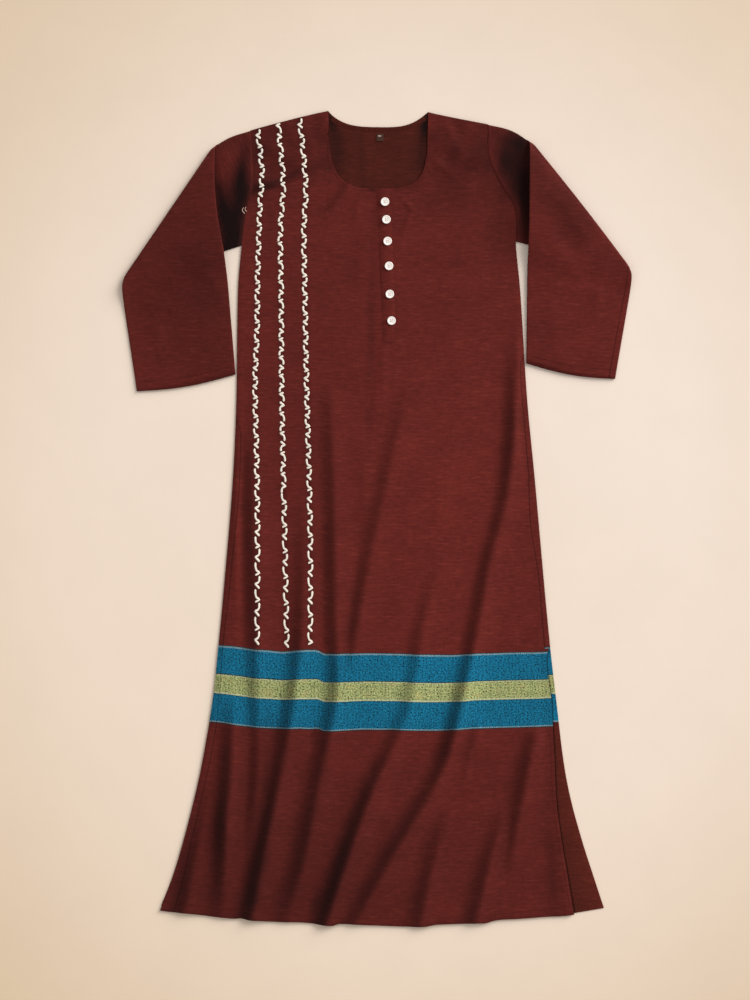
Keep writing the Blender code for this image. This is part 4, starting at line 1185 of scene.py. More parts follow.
class SleevePlan:
    """Where a folded sleeve lies: under layer, rolled crease, and the layer folded over it."""

    def __init__(self, cut):
        self.cut = cut
        roll = 0.5 * TUBE
        self.armhole = self.armhole_points(roll)
        crease_in, crease_out, cuff_in, cuff_out = (
            Vector(corner) * MM
            for corner in (cut.crease_in, cut.crease_out, cut.cuff_in, cut.cuff_out))
        self.along = (crease_out - crease_in).normalized()
        self.outward = Vector((self.along.y, -self.along.x)) * cut.side
        inside = self.outward * CREASE_RADIUS
        end = self.along * roll
        self.crease_ends = (crease_in + end - inside, crease_out - end - inside)
        hem = (cuff_out - cuff_in).normalized() * roll
        self.cuff_ends = (cuff_in + hem, cuff_out - hem)

    def armhole_points(self, roll):
        """The body's own armhole points, tucked in, and pulled in at the ends for the rolls."""
        column = 0 if self.cut.side < 0 else FRONT.columns
        points = [Vector(FRONT.place(column, row)) for row in range(YOKE_ROWS + 1)]
        for point in points:
            point.x -= ARMHOLE_TUCK * self.cut.side
        points[0] += (points[1] - points[0]).normalized() * roll
        points[-1] += (points[-2] - points[-1]).normalized() * roll
        return points

    def crease(self, column):
        share = column / YOKE_ROWS
        swell = self.cut.swell * MM * math.sin(math.pi * share)
        return self.crease_ends[0].lerp(self.crease_ends[1], share) + self.outward * swell

    def cuff(self, column):
        share = column / YOKE_ROWS
        bow = CUFF_BOW * math.sin(math.pi * share)
        return self.cuff_ends[0].lerp(self.cuff_ends[1], share) + Vector((0.0, bow))

    def under(self, column, run):
        point = self.armhole[column].lerp(self.crease(column), run)
        above = 1.0 - column / YOKE_ROWS
        point.y -= self.cut.crown * MM * math.sin(math.pi * run ** CROWN_BOW_SKEW) * above ** 2
        return point - self.along * (self.cut.corner * MM * run ** 3 * above ** 6)

    def over(self, column, run):
        point = self.crease(column).lerp(self.cuff(column), run)
        share = column / YOKE_ROWS
        late = (run + OUTER_BOW_START) / (1.0 + OUTER_BOW_START)
        inner = self.cut.away * MM * math.sin(math.pi * min(run / AWAY_RUN, 1.0))
        inner -= self.cut.toward * MM * ease_over(run, TOWARD_RUN)
        outer = OUTER_BOW * math.sin(math.pi * late ** OUTER_BOW_SKEW)
        point.x += self.cut.side * (outer * share ** 2 + inner * (1.0 - share) ** 2)
        return point

    def across(self, place, run):
        return (place(YOKE_ROWS, run) - place(0, run)).normalized()

    def lift(self, column, run, point):
        """Height of the folded layer above its flat lie on the layer below."""
        above = 1.0 - column / YOKE_ROWS
        from_crease = 2.0 * (CREASE_RADIUS - TUBE - 0.5 * GAP) * near(run, CREASE_SETTLES)
        loft = INNER_LOFT * above ** LOFT_FALL * math.sin(math.pi * run ** LOFT_SKEW)
        loft *= 1.0 - LOFT_LOWER * ease_over(run, LOFT_LOWERS)
        edge_in, edge_out = self.under(YOKE_ROWS, 0.0), self.under(YOKE_ROWS, 1.0)
        beyond = (point - edge_in).cross((edge_out - edge_in).normalized()) * -self.cut.side
        drop = (TUBE + GAP) * ease(beyond / SETTLE)
        creases = patched(SLEEVE_CREASES[self.cut.name], *point) * MM
        creases += max(unevenness(*point), 0.0)
        creases *= ease(PLAIN_RUN * run) * ease(PLAIN_EDGE * above)
        hem = HEM_STEP * near((self.cuff(column) - point).length - CUFF_FOLD, HEM_STEP_RUN)
        return from_crease + loft - drop + creases + hem

    def flat(self, station, column, offset):
        """Plan of a point of the sleeve, before its roll round the crease."""
        kind, run = station
        if kind == "bend":
            point = self.under(column, 1.0).lerp(self.over(column, 0.0), ease(run))
            return point + self.across(self.under, 1.0) * offset
        place = self.under if kind == "under" else self.over
        return place(column, run) + self.across(place, run) * offset

    def point(self, station, column, offset, height):
        """A point of the sleeve at one station along it."""
        kind, run = station
        flat = self.flat(station, column, offset)
        if kind == "under":
            high = height - UNDER_TUCK * height / TUBE * near(run, UNDER_TUCK_RUN)
        elif kind == "bend":
            radius = CREASE_RADIUS - height
            ends = min(column, YOKE_ROWS - column) / ROLL_END_COLUMNS
            full = mix(ROLL_END, 1.0, ease(ends))
            flat = flat + self.outward * full * radius * math.sin(run * math.pi)
            high = CREASE_RADIUS - radius * math.cos(run * math.pi)
        else:
            high = 2.0 * TUBE + GAP - height + self.lift(column, run, flat)
        return world(flat.x, flat.y, high)

    def weave(self, station, column, offset):
        """The same point on the cut cloth, opened out round the crease."""
        kind, run = station
        flat = self.flat(station, column, offset)
        if kind == "over":
            return flat
        if kind == "bend":
            return flat + self.outward * CREASE_ROLL * (1.0 - run)
        inside = (flat - self.crease_ends[0]).dot(self.outward)
        return flat - self.outward * (2.0 * inside - CREASE_ROLL)

    # Painted shade and light of the sleeve, from its under or folded layer's table
    def dye(self, station, flat):
        table_of = UNDER_PAINTED_SHADING if station[0] == "under" else OVER_PAINTED_SHADING
        return painted_shading_from(table_of[self.cut.name], *flat, UNDER_LEAST[self.cut.name])

    def seam(self, station, column):
        """Distance from the seams of the right sleeve: high on the armhole, and underarm."""
        kind, run = station
        if self.cut.side < 0 or kind == "bend":
            return 1.0
        if kind == "under":
            long = (self.crease(column) - self.armhole[column]).length
            lower = SEAM_AWAY * ease_over(column / YOKE_ROWS, SEAM_HIGH)
            return long * run - ARMHOLE_TUCK + lower
        wide = (self.over(YOKE_ROWS, run) - self.over(0, run)).length
        return wide * (1.0 - column / YOKE_ROWS) - SLEEVE_SEAM

    def cut_size(self):
        """Width round the tube, length and area of the whole sleeve laid open, in metres."""
        long = max((self.armhole[column] - self.crease(column)).length
                   + (self.cuff(column) - self.crease(column)).length
                   for column in range(YOKE_ROWS + 1)) + CREASE_ROLL
        crease = (self.crease(YOKE_ROWS) - self.crease(0)).length + TUBE
        armhole = run_lengths(self.armhole)[-1] + TUBE
        area = crease * CREASE_ROLL
        for place, rows in ((self.under, UNDER_ROWS), (self.over, OVER_ROWS)):
            area += grid_area([[place(column, row / rows) for column in range(YOKE_ROWS + 1)]
                               for row in range(rows + 1)])
        return 2.0 * max(crease, armhole), long, 2.0 * area


def sleeve_ring(inset):
    """Points round a pressed sleeve: column across, offset past the rolled edge, and height.

    inset is 0 on the outer face of the cloth and its wall on the inner face.
    """
    middle = 0.5 * TUBE
    radius = middle - inset
    ring = []
    for way, columns in ((1, range(YOKE_ROWS + 1)), (-1, range(YOKE_ROWS, -1, -1))):
        ring += [(k, 0.0, middle - way * radius) for k in columns]
        for k in range(1, ROLL_POINTS + 1):
            turn = math.pi * k / (ROLL_POINTS + 1)
            ring.append((columns[-1], way * radius * math.sin(turn),
                         middle - way * radius * math.cos(turn)))
    return ring


def sleeve_stations():
    """Stations along a sleeve, from the armhole to the cuff."""
    stations = [("under", k / UNDER_ROWS) for k in range(UNDER_ROWS + 1)]
    stations += [("bend", k / (BEND_ROWS + 1)) for k in range(1, BEND_ROWS + 1)]
    return stations + [("over", (k / OVER_ROWS) ** OVER_CROWD) for k in range(OVER_ROWS + 1)]


def make_sleeve(cut, scene):
    """A pressed tube with a wall: its outer face out to the cuff, then its inner face back."""
    plan = SleevePlan(cut)
    stations = sleeve_stations()
    outer, inner = sleeve_ring(0.0), sleeve_ring(scene.kurta_cloth.wall)
    loop = [(outer, station) for station in stations]
    loop += [(inner, station) for station in reversed(stations)]

    def spot_of(column, row):
        ring, station = loop[row % len(loop)]
        place, offset, height = ring[column % len(ring)]
        return Spot(plan.point(station, place, offset, height),
                    plan.weave(station, place, offset),
                    plan.dye(station, plan.flat(station, place, offset)),
                    plan.seam(station, place))

    bm = woven_grid(len(outer), len(loop), spot_of, len(stations) - 1)
    bmesh.ops.remove_doubles(bm, verts=bm.verts, dist=WELD)
    bmesh.ops.recalc_face_normals(bm, faces=bm.faces)
    piece = linked(bm, cut.name + "_cloth", cotton_sides(scene))
    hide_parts(cut.name)
    wide, long, area = plan.cut_size()


def make_back(scene):
    """The back: its wrong side shows in the scoop and beyond the slit."""
    def spot_of(column, row):
        x, down = BACK.place(column, row)
        rise = max(patched(BACK_CREASES, x, down), 0.0) * MM
        # the seam's dark groove, drawn beside the slit's edge, is a painted shadow
        slit = 1.0
        if down > SLIT_TOP - SLIT_SEWN:
            slit = SLIT_SHADE * (x - front_right(down)) + SLIT_SHADE_OFF
        return Spot(world(x, down, rise), (x, weft_down(x, down) + BORDER_STEP),
                    painted_shading_from(BACK_PAINTED_SHADING, x, down), slit)

    bm = woven_grid(BACK.columns, BACK.rows, spot_of)
    piece = linked(bm, "back_cloth", cotton_sides(scene)[::-1])
    give_wall(piece, CLOTH, 1, 1)
    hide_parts("back_panel")
    wide, long, area = BACK.cut()


def make_front(scene):
    """The front, with its folds, side seams and turned hem."""
    wall = scene.kurta_cloth.wall

    def spot_of(column, row):
        x, down = FRONT.place(column, row)
        lower = HEM_DROP(x) * ease(1.0 - (front_hem(x) - down) / RIPPLE_RUN)
        return Spot(world(x, down + lower, LAYER + CLOTH - wall + relief(x, down)),
                    (x, weft_down(x, down)), front_painted_shading(x, down), seam_inside(x, down))

    bm = woven_grid(FRONT.columns, FRONT.rows, spot_of)
    piece = linked(bm, "front_cloth", cotton_sides(scene))
    give_wall(piece, wall, 1, 0)
    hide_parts("front_panel")
    wide, long, area = FRONT.cut()


def make_placket(scene):
    """The placket follows the front one layer out, with its edges and lower end pressed down."""
    wall = PLACKET_WALL * scene.kurta_cloth.wall
    stands, half = PLACKET_STANDS

    def spot_of(column, row):
        down = mix(PLACKET_TOP, PLACKET_END, row / PLACKET_ROWS)
        left, right = (edge(down) for edge in PLACKET_EDGES)
        x = mix(left, right, column / PLACKET_COLUMNS)
        edge_sink = PLACKET_SINK * near(min(right - x, PLACKET_END - down), PLACKET_SINK_RUN)
        uneven = PLACKET_UNEVEN * noise_at(0.0, down / PLACKET_UNEVEN_LONG, PLACKET_SLICE)
        stands_by = math.exp(-((down - stands) / half) ** 2) * (PLACKET_STANDS_BY + uneven)
        left_sink = PLACKET_SINK - stands_by
        sink = max(edge_sink, left_sink * near(x - left, PLACKET_LEFT_RUN)) * MM
        high = 2.0 * LAYER + CLOTH - wall + relief(x, down) - sink
        # the placket takes the front's painted light and shade
        return Spot(world(x, down, high), (x, down + PLACKET_SLACK),
                    1.0 + patched(FRONT_PAINTED_SHADING, x, down))

    bm = woven_grid(PLACKET_COLUMNS, PLACKET_ROWS, spot_of)
    piece = linked(bm, "placket_cloth", cotton_sides(scene)[:1])
    give_wall(piece, wall)
    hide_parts("placket")


def make_binding(scene):
    """A narrow strip along the inside of the back neck, on the back panel."""
    points = [Vector(back_neck(mix(BINDING_REACH, -BINDING_REACH, row / BINDING_ROWS)))
              for row in range(BINDING_ROWS + 1)]

    def spot_of(column, row):
        run = points[min(row + 1, BINDING_ROWS)] - points[max(row - 1, 0)]
        wide = BINDING_WIDE * column / BINDING_COLUMNS
        point = points[row] + Vector((run.y, -run.x)).normalized() * (wide + GAP)
        pressed = BINDING_PRESSED * ease((column - 1) / (BINDING_COLUMNS - 1))
        return Spot(world(point.x, point.y, LAYER - pressed),
                    (wide, BINDING_WEFT * row / BINDING_ROWS), BINDING_TONE)

    bm = woven_grid(BINDING_COLUMNS, BINDING_ROWS, spot_of)
    piece = linked(bm, "neck_binding_cloth", cotton_sides(scene)[1:])
    give_wall(piece, scene.kurta_cloth.wall)
    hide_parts("neck_binding")
    long = run_lengths(points)[-1]


def make_label():
    """A plain woven label on the back panel, under the binding."""
    def spot_of(column, row):
        x = LABEL_X + (column / LABEL_CELLS - 0.5) * LABEL_WIDE
        down = LABEL_DOWN + (row / LABEL_CELLS - 0.5) * LABEL_LONG
        curl = LABEL_CURL * (row / LABEL_CELLS) ** 2
        return Spot(world(x, down, LAYER + curl), (x, down))

    bm = woven_grid(LABEL_CELLS, LABEL_CELLS, spot_of)
    piece = linked(bm, "label_cloth", [label_material()])
    give_wall(piece, LABEL_THICK)
    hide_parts("label")


Bead = namedtuple("Bead", "point up wide high")


def run_lengths(points):
    """Distance along a line of points at each of them."""
    runs = [0.0]
    for a, b in zip(points, points[1:]):
        runs.append(runs[-1] + (b - a).length)
    return runs


def add_thread(bm, along, beads, sides):
    """A flattened thread through a row of beads, each with a point and its half sizes."""
    steps = len(beads) - 1
    made = bmesh.ops.create_grid(bm, x_segments=sides, y_segments=steps, size=0.5)
    runs = run_lengths([bead.point for bead in beads])
    for vert in made["verts"]:
        turn = 2.0 * math.pi * (round((vert.co.x + 0.5) * sides) % sides) / sides
        step = round((vert.co.y + 0.5) * steps)
        bead = beads[step]
        ahead = beads[min(step + 1, steps)].point - beads[max(step - 1, 0)].point
        side = ahead.cross(bead.up).normalized()
        vert.co = (bead.point + side * (bead.wide * math.cos(turn))
                   + bead.up * (bead.high * math.sin(turn)))
        vert[along] = runs[step]


def threads_piece(name, finish, threads, sides=THREAD_SIDES):
    """One piece of many threads, each a row of beads."""
    bm = bmesh.new()
    along = bm.verts.layers.float.new("along")
    for beads in threads:
        add_thread(bm, along, beads, sides)
    bmesh.ops.remove_doubles(bm, verts=bm.verts, dist=WELD)
    bmesh.ops.dissolve_degenerate(bm, edges=bm.edges, dist=WELD)
    bmesh.ops.recalc_face_normals(bm, faces=bm.faces)
    linked(bm, name, [finish])


def smooth_at(rows, column, t):
    """A point on a smooth curve through one column of a table, t from 0 to 1."""
    last = len(rows) - 1
    k = min(int(t * last), last - 1)
    f = t * last - k
    a, b, c, d = (getattr(rows[min(max(k + j, 0), last)], column) for j in (-1, 0, 1, 2))
    return b + 0.5 * f * (c - a + f * (2 * a - 5 * b + 4 * c - d + f * (3 * (b - c) + d - a)))


def sprig_talls(start, end, chance):
    """Uneven heights of a stripe's sprigs, which fill it from start to end."""
    talls = []
    while start + sum(talls) < end - 0.5 * SPRIG_LONG(end):
        talls.append(SPRIG_LONG(start + sum(talls)) * chance.uniform(*SPRIG_UNEVEN))
    return [tall * (end - start) / sum(talls) for tall in talls]


def sprig_beads(middle, down, tall, stops, turned, chance):
    """One sprig, charted by its stops along the stripe's middle."""
    beads = []
    least, more, widest = SPRIG_THICK
    for k in range(SPRIG_STEPS):
        x, y, wide = (smooth_at(stops, column, k / (SPRIG_STEPS - 1))
                      for column in ("x", "y", "wide"))
        if turned:
            x, y = -x, 1.0 - y
        spot_down = down + y * tall
        stray = chance.uniform(-SPRIG_STRAY, SPRIG_STRAY)
        spot_x = middle(spot_down) + x * SPRIG_HALF + stray
        wide *= SPRIG_TIP if k in (0, SPRIG_STEPS - 1) else 1.0
        up = front_up(spot_x, spot_down)
        thick = least + more * min(wide, widest)
        beads.append(Bead(front_face(spot_x, spot_down) + up * SPRIG_LIFT, up, wide * MM,
                          0.5 * SPRIG_HIGH * thick))
    return beads


def make_embroidery(number, finish, chance):
    """One stripe of satin sprigs, which lean right and left by turns."""
    rows, middle = EMBROIDERY[number - 1], STRIPES[number - 1]
    down, end = rows[0].down * MM + STRIPE_STARTS, rows[-1].down * MM
    right = LEAN_FIRST[number - 1]
    threads = []
    for tall in sprig_talls(down, end, chance):
        turned = down < UPSIDE_DOWN[number - 1] * MM
        stops = SPRIG_RIGHT if right else SPRIG_LEFT
        threads.append(sprig_beads(middle, down, tall, stops, turned, chance))
        down += tall
        right = not right
    threads_piece("embroidery_%d" % number, finish, threads)


def stitches(face, line):
    """Raised stitches at an even pitch, on a face, along a line in its own coordinates."""
    runs = run_lengths([face(*spot) for spot in line])

    def at(run):
        k = min(max(bisect.bisect_right(runs, run) - 1, 0), len(line) - 2)
        t = (run - runs[k]) / max(runs[k + 1] - runs[k], 1e-9)
        return face(*(mix(a, b, t) for a, b in zip(line[k], line[k + 1])))

    made = []
    for k in range(int((runs[-1] - STITCH_LONG) / STITCH_PITCH) + 1):
        beads = []
        for share, size in STITCH_BEADS:
            lift = STITCH_LIFT if size == 1.0 else -STITCH_LIFT
            point = at(k * STITCH_PITCH + share * STITCH_LONG) + UP * lift
            beads.append(Bead(point, UP, *(half * size for half in STITCH_HALF)))
        made.append(beads)
    return made


def spaced(start, end, count):
    return [mix(start, end, k / count) for k in range(count + 1)]


def make_stitching(finish):
    """Topstitching of the hem, the slit below the border, the scoop, the placket and the cuffs."""
    left, right = LEFT(HEM_CORNER) + SIDE_INSET, front_right(HEM_CORNER) - SIDE_INSET
    hem = [(x, front_hem(x) - HEM_FOLD) for x in spaced(left, right, HEM_STEPS)]
    slit = [(front_right(down) - SLIT_INSIDE, down)
            for down in spaced(*SLIT_STITCHED, SLIT_STEPS)]
    scoop = []
    for turn in spaced(*SCOOP_STITCHED, SCOOP_STEPS):
        share = -math.cos(math.pi * turn)
        here = Vector(front_neck(share))
        run = Vector(front_neck(share + SCOOP_STEP)) - here
        scoop.append(tuple(here + Vector((-run.y, run.x)).normalized() * SCOOP_OUTSIDE))
    seams = [(front_face, line) for line in (hem, slit, scoop)]
    bottom = PLACKET_END - PLACKET_INSIDE
    for edge, inset in zip(PLACKET_EDGES, (PLACKET_INSIDE, -PLACKET_INSIDE)):
        downs = spaced(PLACKET_TOP + SIDE_INSET, bottom, PLACKET_STEPS)
        seams.append((placket_face, [(edge(down) + inset, down) for down in downs]))
    for down in (bottom, bottom - PLACKET_BOX):
        left, right = (edge(down) for edge in PLACKET_EDGES)
        xs = spaced(left + PLACKET_INSIDE, right - PLACKET_INSIDE, BOX_STEPS)
        seams.append((placket_face, [(x, down) for x in xs]))
    for plan in [SleevePlan(cut) for cut in SLEEVES]:
        def cuff_face(column, inside, plan=plan):
            run = 1.0 - inside / (plan.cuff(column) - plan.crease(column)).length
            return plan.point(("over", run), column, 0.0, 0.0)

        columns = spaced(1.0, YOKE_ROWS - 1.0, CUFF_STEPS)
        seams.append((cuff_face, [(column, CUFF_FOLD) for column in columns]))
    threads = [beads for face, line in seams for beads in stitches(face, line)]
    threads_piece("topstitching", finish, threads, STITCH_SIDES)


def bored(piece, drill_bm):
    """Cut a bmesh of drills out of a piece, for good."""
    drills = meshed(drill_bm, "holes")
    cut = piece.modifiers.new("Holes", "BOOLEAN")
    cut.operation = "DIFFERENCE"
    cut.object = drills
    bpy.context.view_layer.update()
    mesh = bpy.data.meshes.new_from_object(
        piece.evaluated_get(bpy.context.evaluated_depsgraph_get()))
    piece.modifiers.clear()
    piece.data = mesh
    bpy.data.objects.remove(drills, do_unlink=True)
    mesh.shade_smooth()
    mesh.set_sharp_from_angle(angle=math.radians(BUTTON_SHARP))


def make_button(number, button, finish):
    """A turned four-hole button on the placket, its holes bored through."""
    bm = bmesh.new()
    verts = [bm.verts.new((out * MM, 0.0, up * MM)) for out, up in BUTTON_SECTION]
    edges = [bm.edges.new(pair) for pair in zip(verts, verts[1:])]
    bmesh.ops.spin(bm, geom=verts + edges, cent=(0, 0, 0), axis=(0, 0, 1),
                   angle=2.0 * math.pi, steps=BUTTON_STEPS, use_merge=True)
    bmesh.ops.remove_doubles(bm, verts=bm.verts, dist=10.0 * WELD)
    bmesh.ops.recalc_face_normals(bm, faces=bm.faces)
    x, down = button.x * MM, button.down * MM
    seat = world(x, down, 3.0 * LAYER + relief(x, down))
    bmesh.ops.translate(bm, vec=seat, verts=bm.verts)
    piece = linked(bm, "button_%d_turned" % number, [finish])

    bm = bmesh.new()
    reach = BUTTON_HOLE_APART / math.sqrt(2.0)
    for corner in range(4):
        turn = math.radians(45 + 90 * corner)
        made = bmesh.ops.create_cone(bm, cap_ends=True, segments=HOLE_STEPS,
                                     radius1=0.5 * BUTTON_HOLE, radius2=0.5 * BUTTON_HOLE,
                                     depth=3.0 * BUTTON_THICK)
        at = seat + Vector((reach * math.cos(turn), reach * math.sin(turn), 0.5 * BUTTON_THICK))
        bmesh.ops.translate(bm, vec=at, verts=made["verts"])
    bored(piece, bm)
    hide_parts("button_%d" % number)
    return seat


def make_button_thread(seats, finish):
    """Two bars of thread through each button, from hole to hole."""
    reach = 0.5 * BUTTON_HOLE_APART
    threads_piece("button_thread", finish, [
        [Bead(seat + Vector((out * reach, side, high * MM)), UP, *BUTTON_BAR_HALF)
         for out, high in BUTTON_BAR]
        for seat in seats for side in (-reach, reach)])


def make_loose_thread(finish):
    """A loose thread end caught at the left armhole."""
    threads = []
    for snippet in SNIPPETS:
        beads = []
        for k in range(SNIPPET_STEPS + 1):
            x, down = (smooth_at(snippet, column, k / SNIPPET_STEPS) * MM
                       for column in ("x", "down"))
            size = SNIPPET_TIP if k in (0, SNIPPET_STEPS) else 1.0
            high = LAYER + CLOTH + max(relief(x, down), 0.0) + SNIPPET_LIFT
            beads.append(Bead(world(x, down, high), UP, *(half * size for half in SNIPPET_HALF)))
        threads.append(beads)
    threads_piece("loose_thread", finish, threads)


def colour_property(name, description, hex_colour):
    """A user's colour, given in sRGB hex."""
    return FloatVectorProperty(name=name, description=description, subtype="COLOR", size=3,
                               min=0.0, max=1.0, default=linear(hex_colour))


class KurtaCloth(bpy.types.PropertyGroup):
    """Sizes and colours of the cotton cloth"""

    wall: FloatProperty(name="Wall", description="Thickness of the front and sleeves",
                        default=0.8 * MM, min=0.3 * MM, max=1.2 * MM, unit="LENGTH")
    folds: FloatProperty(name="Folds", description="Height of the soft folds, as a share",
                         default=1.25, min=0.0, max=1.5, subtype="FACTOR")
    ground: colour_property("Ground", "Dyed ground of the cloth", "#5A1D18")
    streak: colour_property("Streak", "Thick places in the weft", "#73332A")
    # The wrong side is drawn darker than the right side: painted shade for the inside of the scoop
    inside: colour_property("Wrong side", "Ground of the wrong side", "#46170F")
    shaded_inside_streak: colour_property("Wrong side streak", "Its thick places", "#5A261D")
    teal: colour_property("Teal", "Wide stripes of the border", "#0C5B78")
    lime: colour_property("Lime", "Narrow stripe of the border", "#8C9260")
    picks: colour_property("Pale picks", "Edges of the border's stripes", "#C9CDB8")


class KurtaTrim(bpy.types.PropertyGroup):
    """Sizes and colours of the buttons and threads"""

    button: colour_property("Buttons", "White of the buttons", "#FAF1EA")
    satin: colour_property("Embroidery", "Thread of the embroidery", "#FFF5E6")
    sewing: colour_property("Sewing", "Thread of the stitching", "#501C16")
    snippet: colour_property("Loose thread", "Thread caught at the armhole", "#D9B8A8")
    satin_lines: FloatProperty(name="Satin lines", description="Distance between satin stitches",
                               default=0.75 * MM, min=0.2 * MM, max=2.0 * MM, unit="LENGTH")


class KurtaStage(bpy.types.PropertyGroup):
    """Floor and light"""

    floor: colour_property("Floor", "Paper floor at its brightest", "#EEDDCD")
    # colour of the painted falloff of light on the floor, away from the middle
    floor_falloff: colour_property("Floor edge", "Paper floor away from the middle", "#DBC5AA")
    key: FloatProperty(name="Key light", description="Power of the window light",
                       default=2240.0, min=0.0, subtype="POWER", unit="POWER")
    key_turn: FloatProperty(name="Key turn", description="Turn of the window light from +X",
                            default=math.radians(40.0), subtype="ANGLE")
    key_tilt: FloatProperty(name="Key height", description="Height of the light over the floor",
                            default=math.radians(26.0), subtype="ANGLE")
    key_away: FloatProperty(name="Key distance", description="Distance of the window light",
                            default=14.0, min=1.0, unit="LENGTH")
    key_wide: FloatProperty(name="Key width", description="Width of the window light",
                            default=9.0, min=0.1, unit="LENGTH")
    sky: FloatProperty(name="Room light", description="Strength of the even room light",
                       default=0.58, min=0.0)


def cotton_sides(scene):
    """The cotton's right side, and its wrong side drawn darker as painted shade, made once and
    shared.
    """
    looks = scene.kurta_cloth
    sides = []
    # the wrong side is painted darker, and its grooves deeper for the slit's painted shadow
    for side, ground, streak, groove_and_shadow in (
            ("right", looks.ground, looks.streak, 0.4),
            ("wrong", looks.inside, looks.shaded_inside_streak, 0.8)):
        name = "handloom cotton, %s side" % side
        made = bpy.data.materials.get(name)
        sides.append(made or cotton(name, looks, ground, streak, groove_and_shadow))
    return sides


class KURTA_OT_back_panel(bpy.types.Operator):
    """Add the back panel"""

    bl_idname = "kurta.back_panel"
    bl_label = "Back Panel"

    def execute(self, context):
        make_back(context.scene)
        return {"FINISHED"}


class KURTA_OT_front_panel(bpy.types.Operator):
    """Add the front panel with its folds"""

    bl_idname = "kurta.front_panel"
    bl_label = "Front Panel"

    def execute(self, context):
        make_front(context.scene)
        return {"FINISHED"}


class KURTA_OT_sleeves(bpy.types.Operator):
    """Add both folded sleeves"""

    bl_idname = "kurta.sleeves"
    bl_label = "Sleeves"

    def execute(self, context):
        for cut in SLEEVES:
            make_sleeve(cut, context.scene)
        return {"FINISHED"}


class KURTA_OT_placket(bpy.types.Operator):
    """Add the button placket"""

    bl_idname = "kurta.placket"
    bl_label = "Placket"

    def execute(self, context):
        make_placket(context.scene)
        return {"FINISHED"}


class KURTA_OT_neck(bpy.types.Operator):
    """Add the back neck's binding and the plain label"""

    bl_idname = "kurta.neck"
    bl_label = "Neck Binding and Label"

    def execute(self, context):
        make_binding(context.scene)
        make_label()
        return {"FINISHED"}


class KURTA_OT_buttons(bpy.types.Operator):
    """Add the six buttons and the thread through them"""

    bl_idname = "kurta.buttons"
    bl_label = "Buttons"

    def execute(self, context):
        looks = context.scene.kurta_trim
        finish = button_material(looks)
        seats = [make_button(number, button, finish)
                 for number, button in enumerate(BUTTONS, start=1)]
        thread = thread_material("white sewing thread", looks.button, lines=0.5 * MM,
                                 rough=0.6, painted_hollow_shade=0.9)
        make_button_thread(seats, thread)
        return {"FINISHED"}


class KURTA_OT_embroidery(bpy.types.Operator):
    """Add the three stripes of satin embroidery"""

    bl_idname = "kurta.embroidery"
    bl_label = "Embroidery"

    def execute(self, context):
        looks = context.scene.kurta_trim
        finish = thread_material("cream satin-stitch thread", looks.satin,
                                 lines=looks.satin_lines, rough=0.5, painted_hollow_shade=0.72)
        chance = random.Random(CHANCE_SEED)
        for number in range(1, len(EMBROIDERY) + 1):
            make_embroidery(number, finish, chance)
        return {"FINISHED"}


class KURTA_OT_stitching(bpy.types.Operator):
    """Add the topstitching"""

    bl_idname = "kurta.stitching"
    bl_label = "Topstitching"

    def execute(self, context):
        looks = context.scene.kurta_trim
        make_stitching(thread_material("maroon sewing thread", looks.sewing, lines=0.6 * MM,
                                       rough=0.7, painted_hollow_shade=0.7))
        return {"FINISHED"}


class KURTA_OT_loose_thread(bpy.types.Operator):
    """Add the loose thread end at the left armhole"""

    bl_idname = "kurta.loose_thread"
    bl_label = "Loose Thread"

    def execute(self, context):
        looks = context.scene.kurta_trim
        make_loose_thread(thread_material("pale cotton thread", looks.snippet, lines=0.7 * MM,
                                          rough=0.8, painted_hollow_shade=0.75))
        return {"FINISHED"}


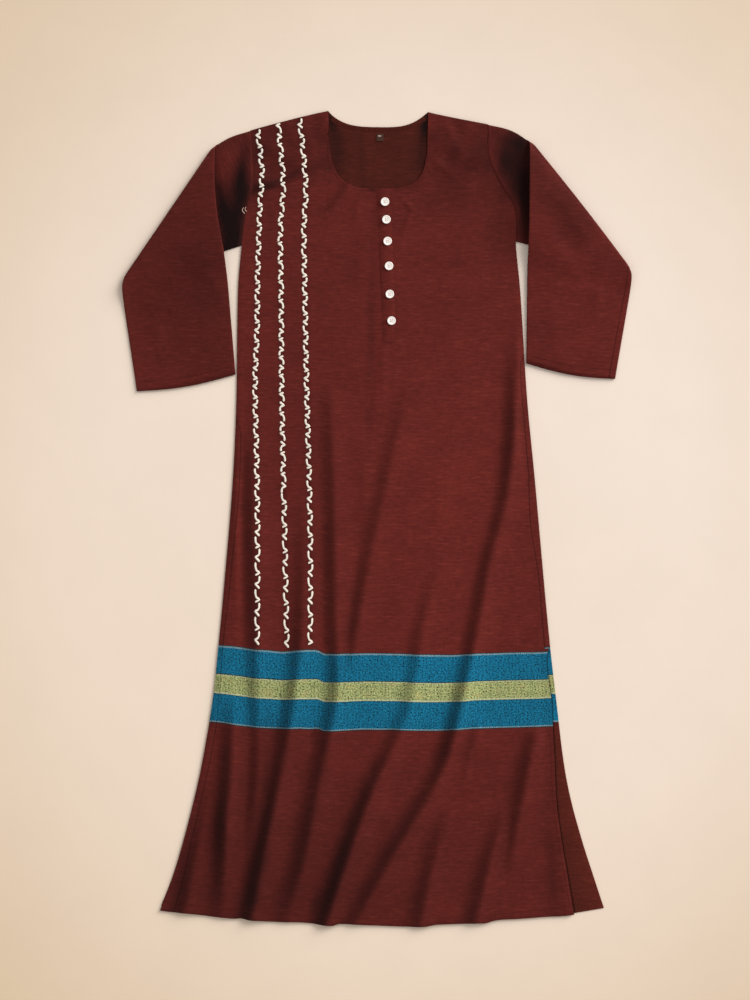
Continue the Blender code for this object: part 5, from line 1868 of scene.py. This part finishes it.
class KURTA_OT_stage(bpy.types.Operator):
    """Add the floor, the light and the camera"""

    bl_idname = "kurta.stage"
    bl_label = "Stage"

    def execute(self, context):
        scene = context.scene
        looks = scene.kurta_stage
        bm = bmesh.new()
        bmesh.ops.create_grid(bm, x_segments=FLOOR_CELLS, y_segments=FLOOR_CELLS, size=FLOOR_HALF)
        bmesh.ops.translate(bm, vec=(0.0, 0.0, -FLOOR_DROP), verts=bm.verts)
        floor = meshed(bm, "floor")
        floor.data.materials.append(floor_material(looks))

        lamp = bpy.data.lights.new("window", "AREA")
        lamp.shape = "SQUARE"
        lamp.size = looks.key_wide
        lamp.energy = looks.key
        lamp.color = WINDOW_COLOUR
        window = placed("window", lamp)
        flat = math.cos(looks.key_tilt)
        window.location = looks.key_away * Vector((
            math.cos(looks.key_turn) * flat, math.sin(looks.key_turn) * flat,
            math.sin(looks.key_tilt)))
        window.rotation_euler = window.location.to_track_quat("Z", "Y").to_euler()

        room = bpy.data.worlds.new("studio")
        room.use_nodes = True
        back = room.node_tree.nodes["Background"]
        back.inputs["Color"].default_value = ROOM_COLOUR
        back.inputs["Strength"].default_value = looks.sky
        scene.world = room
        scene.view_settings.view_transform = "Standard"

        camera = bpy.data.cameras.new("camera")
        camera.lens = CAMERA_LENS
        camera.sensor_width = 36.0
        camera.sensor_fit = "AUTO"
        camera.clip_end = 50.0
        scene.camera = placed("camera", camera)
        scene.camera.location = CAMERA_PLACE
        return {"FINISHED"}


PIECES = (
    KURTA_OT_back_panel, KURTA_OT_front_panel, KURTA_OT_sleeves, KURTA_OT_placket,
    KURTA_OT_neck, KURTA_OT_buttons, KURTA_OT_embroidery, KURTA_OT_stitching,
    KURTA_OT_loose_thread, KURTA_OT_stage,
)
GROUPS = (
    ("kurta_cloth", KurtaCloth), ("kurta_trim", KurtaTrim), ("kurta_stage", KurtaStage),
)


class KURTA_PT_sidebar(bpy.types.Panel):
    """Pieces of the kurta, and the sizes and colours to make them with"""

    bl_idname = "KURTA_PT_sidebar"
    bl_label = "Kurta Tunic"
    bl_space_type = "VIEW_3D"
    bl_region_type = "UI"
    bl_category = "Kurta"

    def draw(self, context):
        for name, group in GROUPS:
            box = self.layout.box()
            for size in group.__annotations__:
                box.prop(getattr(context.scene, name), size)
        for operator in PIECES:
            self.layout.operator(operator.bl_idname)


def register():
    for name, group in GROUPS:
        bpy.utils.register_class(group)
        setattr(bpy.types.Scene, name, PointerProperty(type=group))
    for shown in (*PIECES, KURTA_PT_sidebar):
        bpy.utils.register_class(shown)


def unregister():
    for shown in (KURTA_PT_sidebar, *reversed(PIECES)):
        bpy.utils.unregister_class(shown)
    for name, group in reversed(GROUPS):
        delattr(bpy.types.Scene, name)
        bpy.utils.unregister_class(group)


def main():
    register()
    for operator in PIECES:
        group, name = operator.bl_idname.split(".")
        getattr(getattr(bpy.ops, group), name)()


if __name__ == "__main__":
    main()
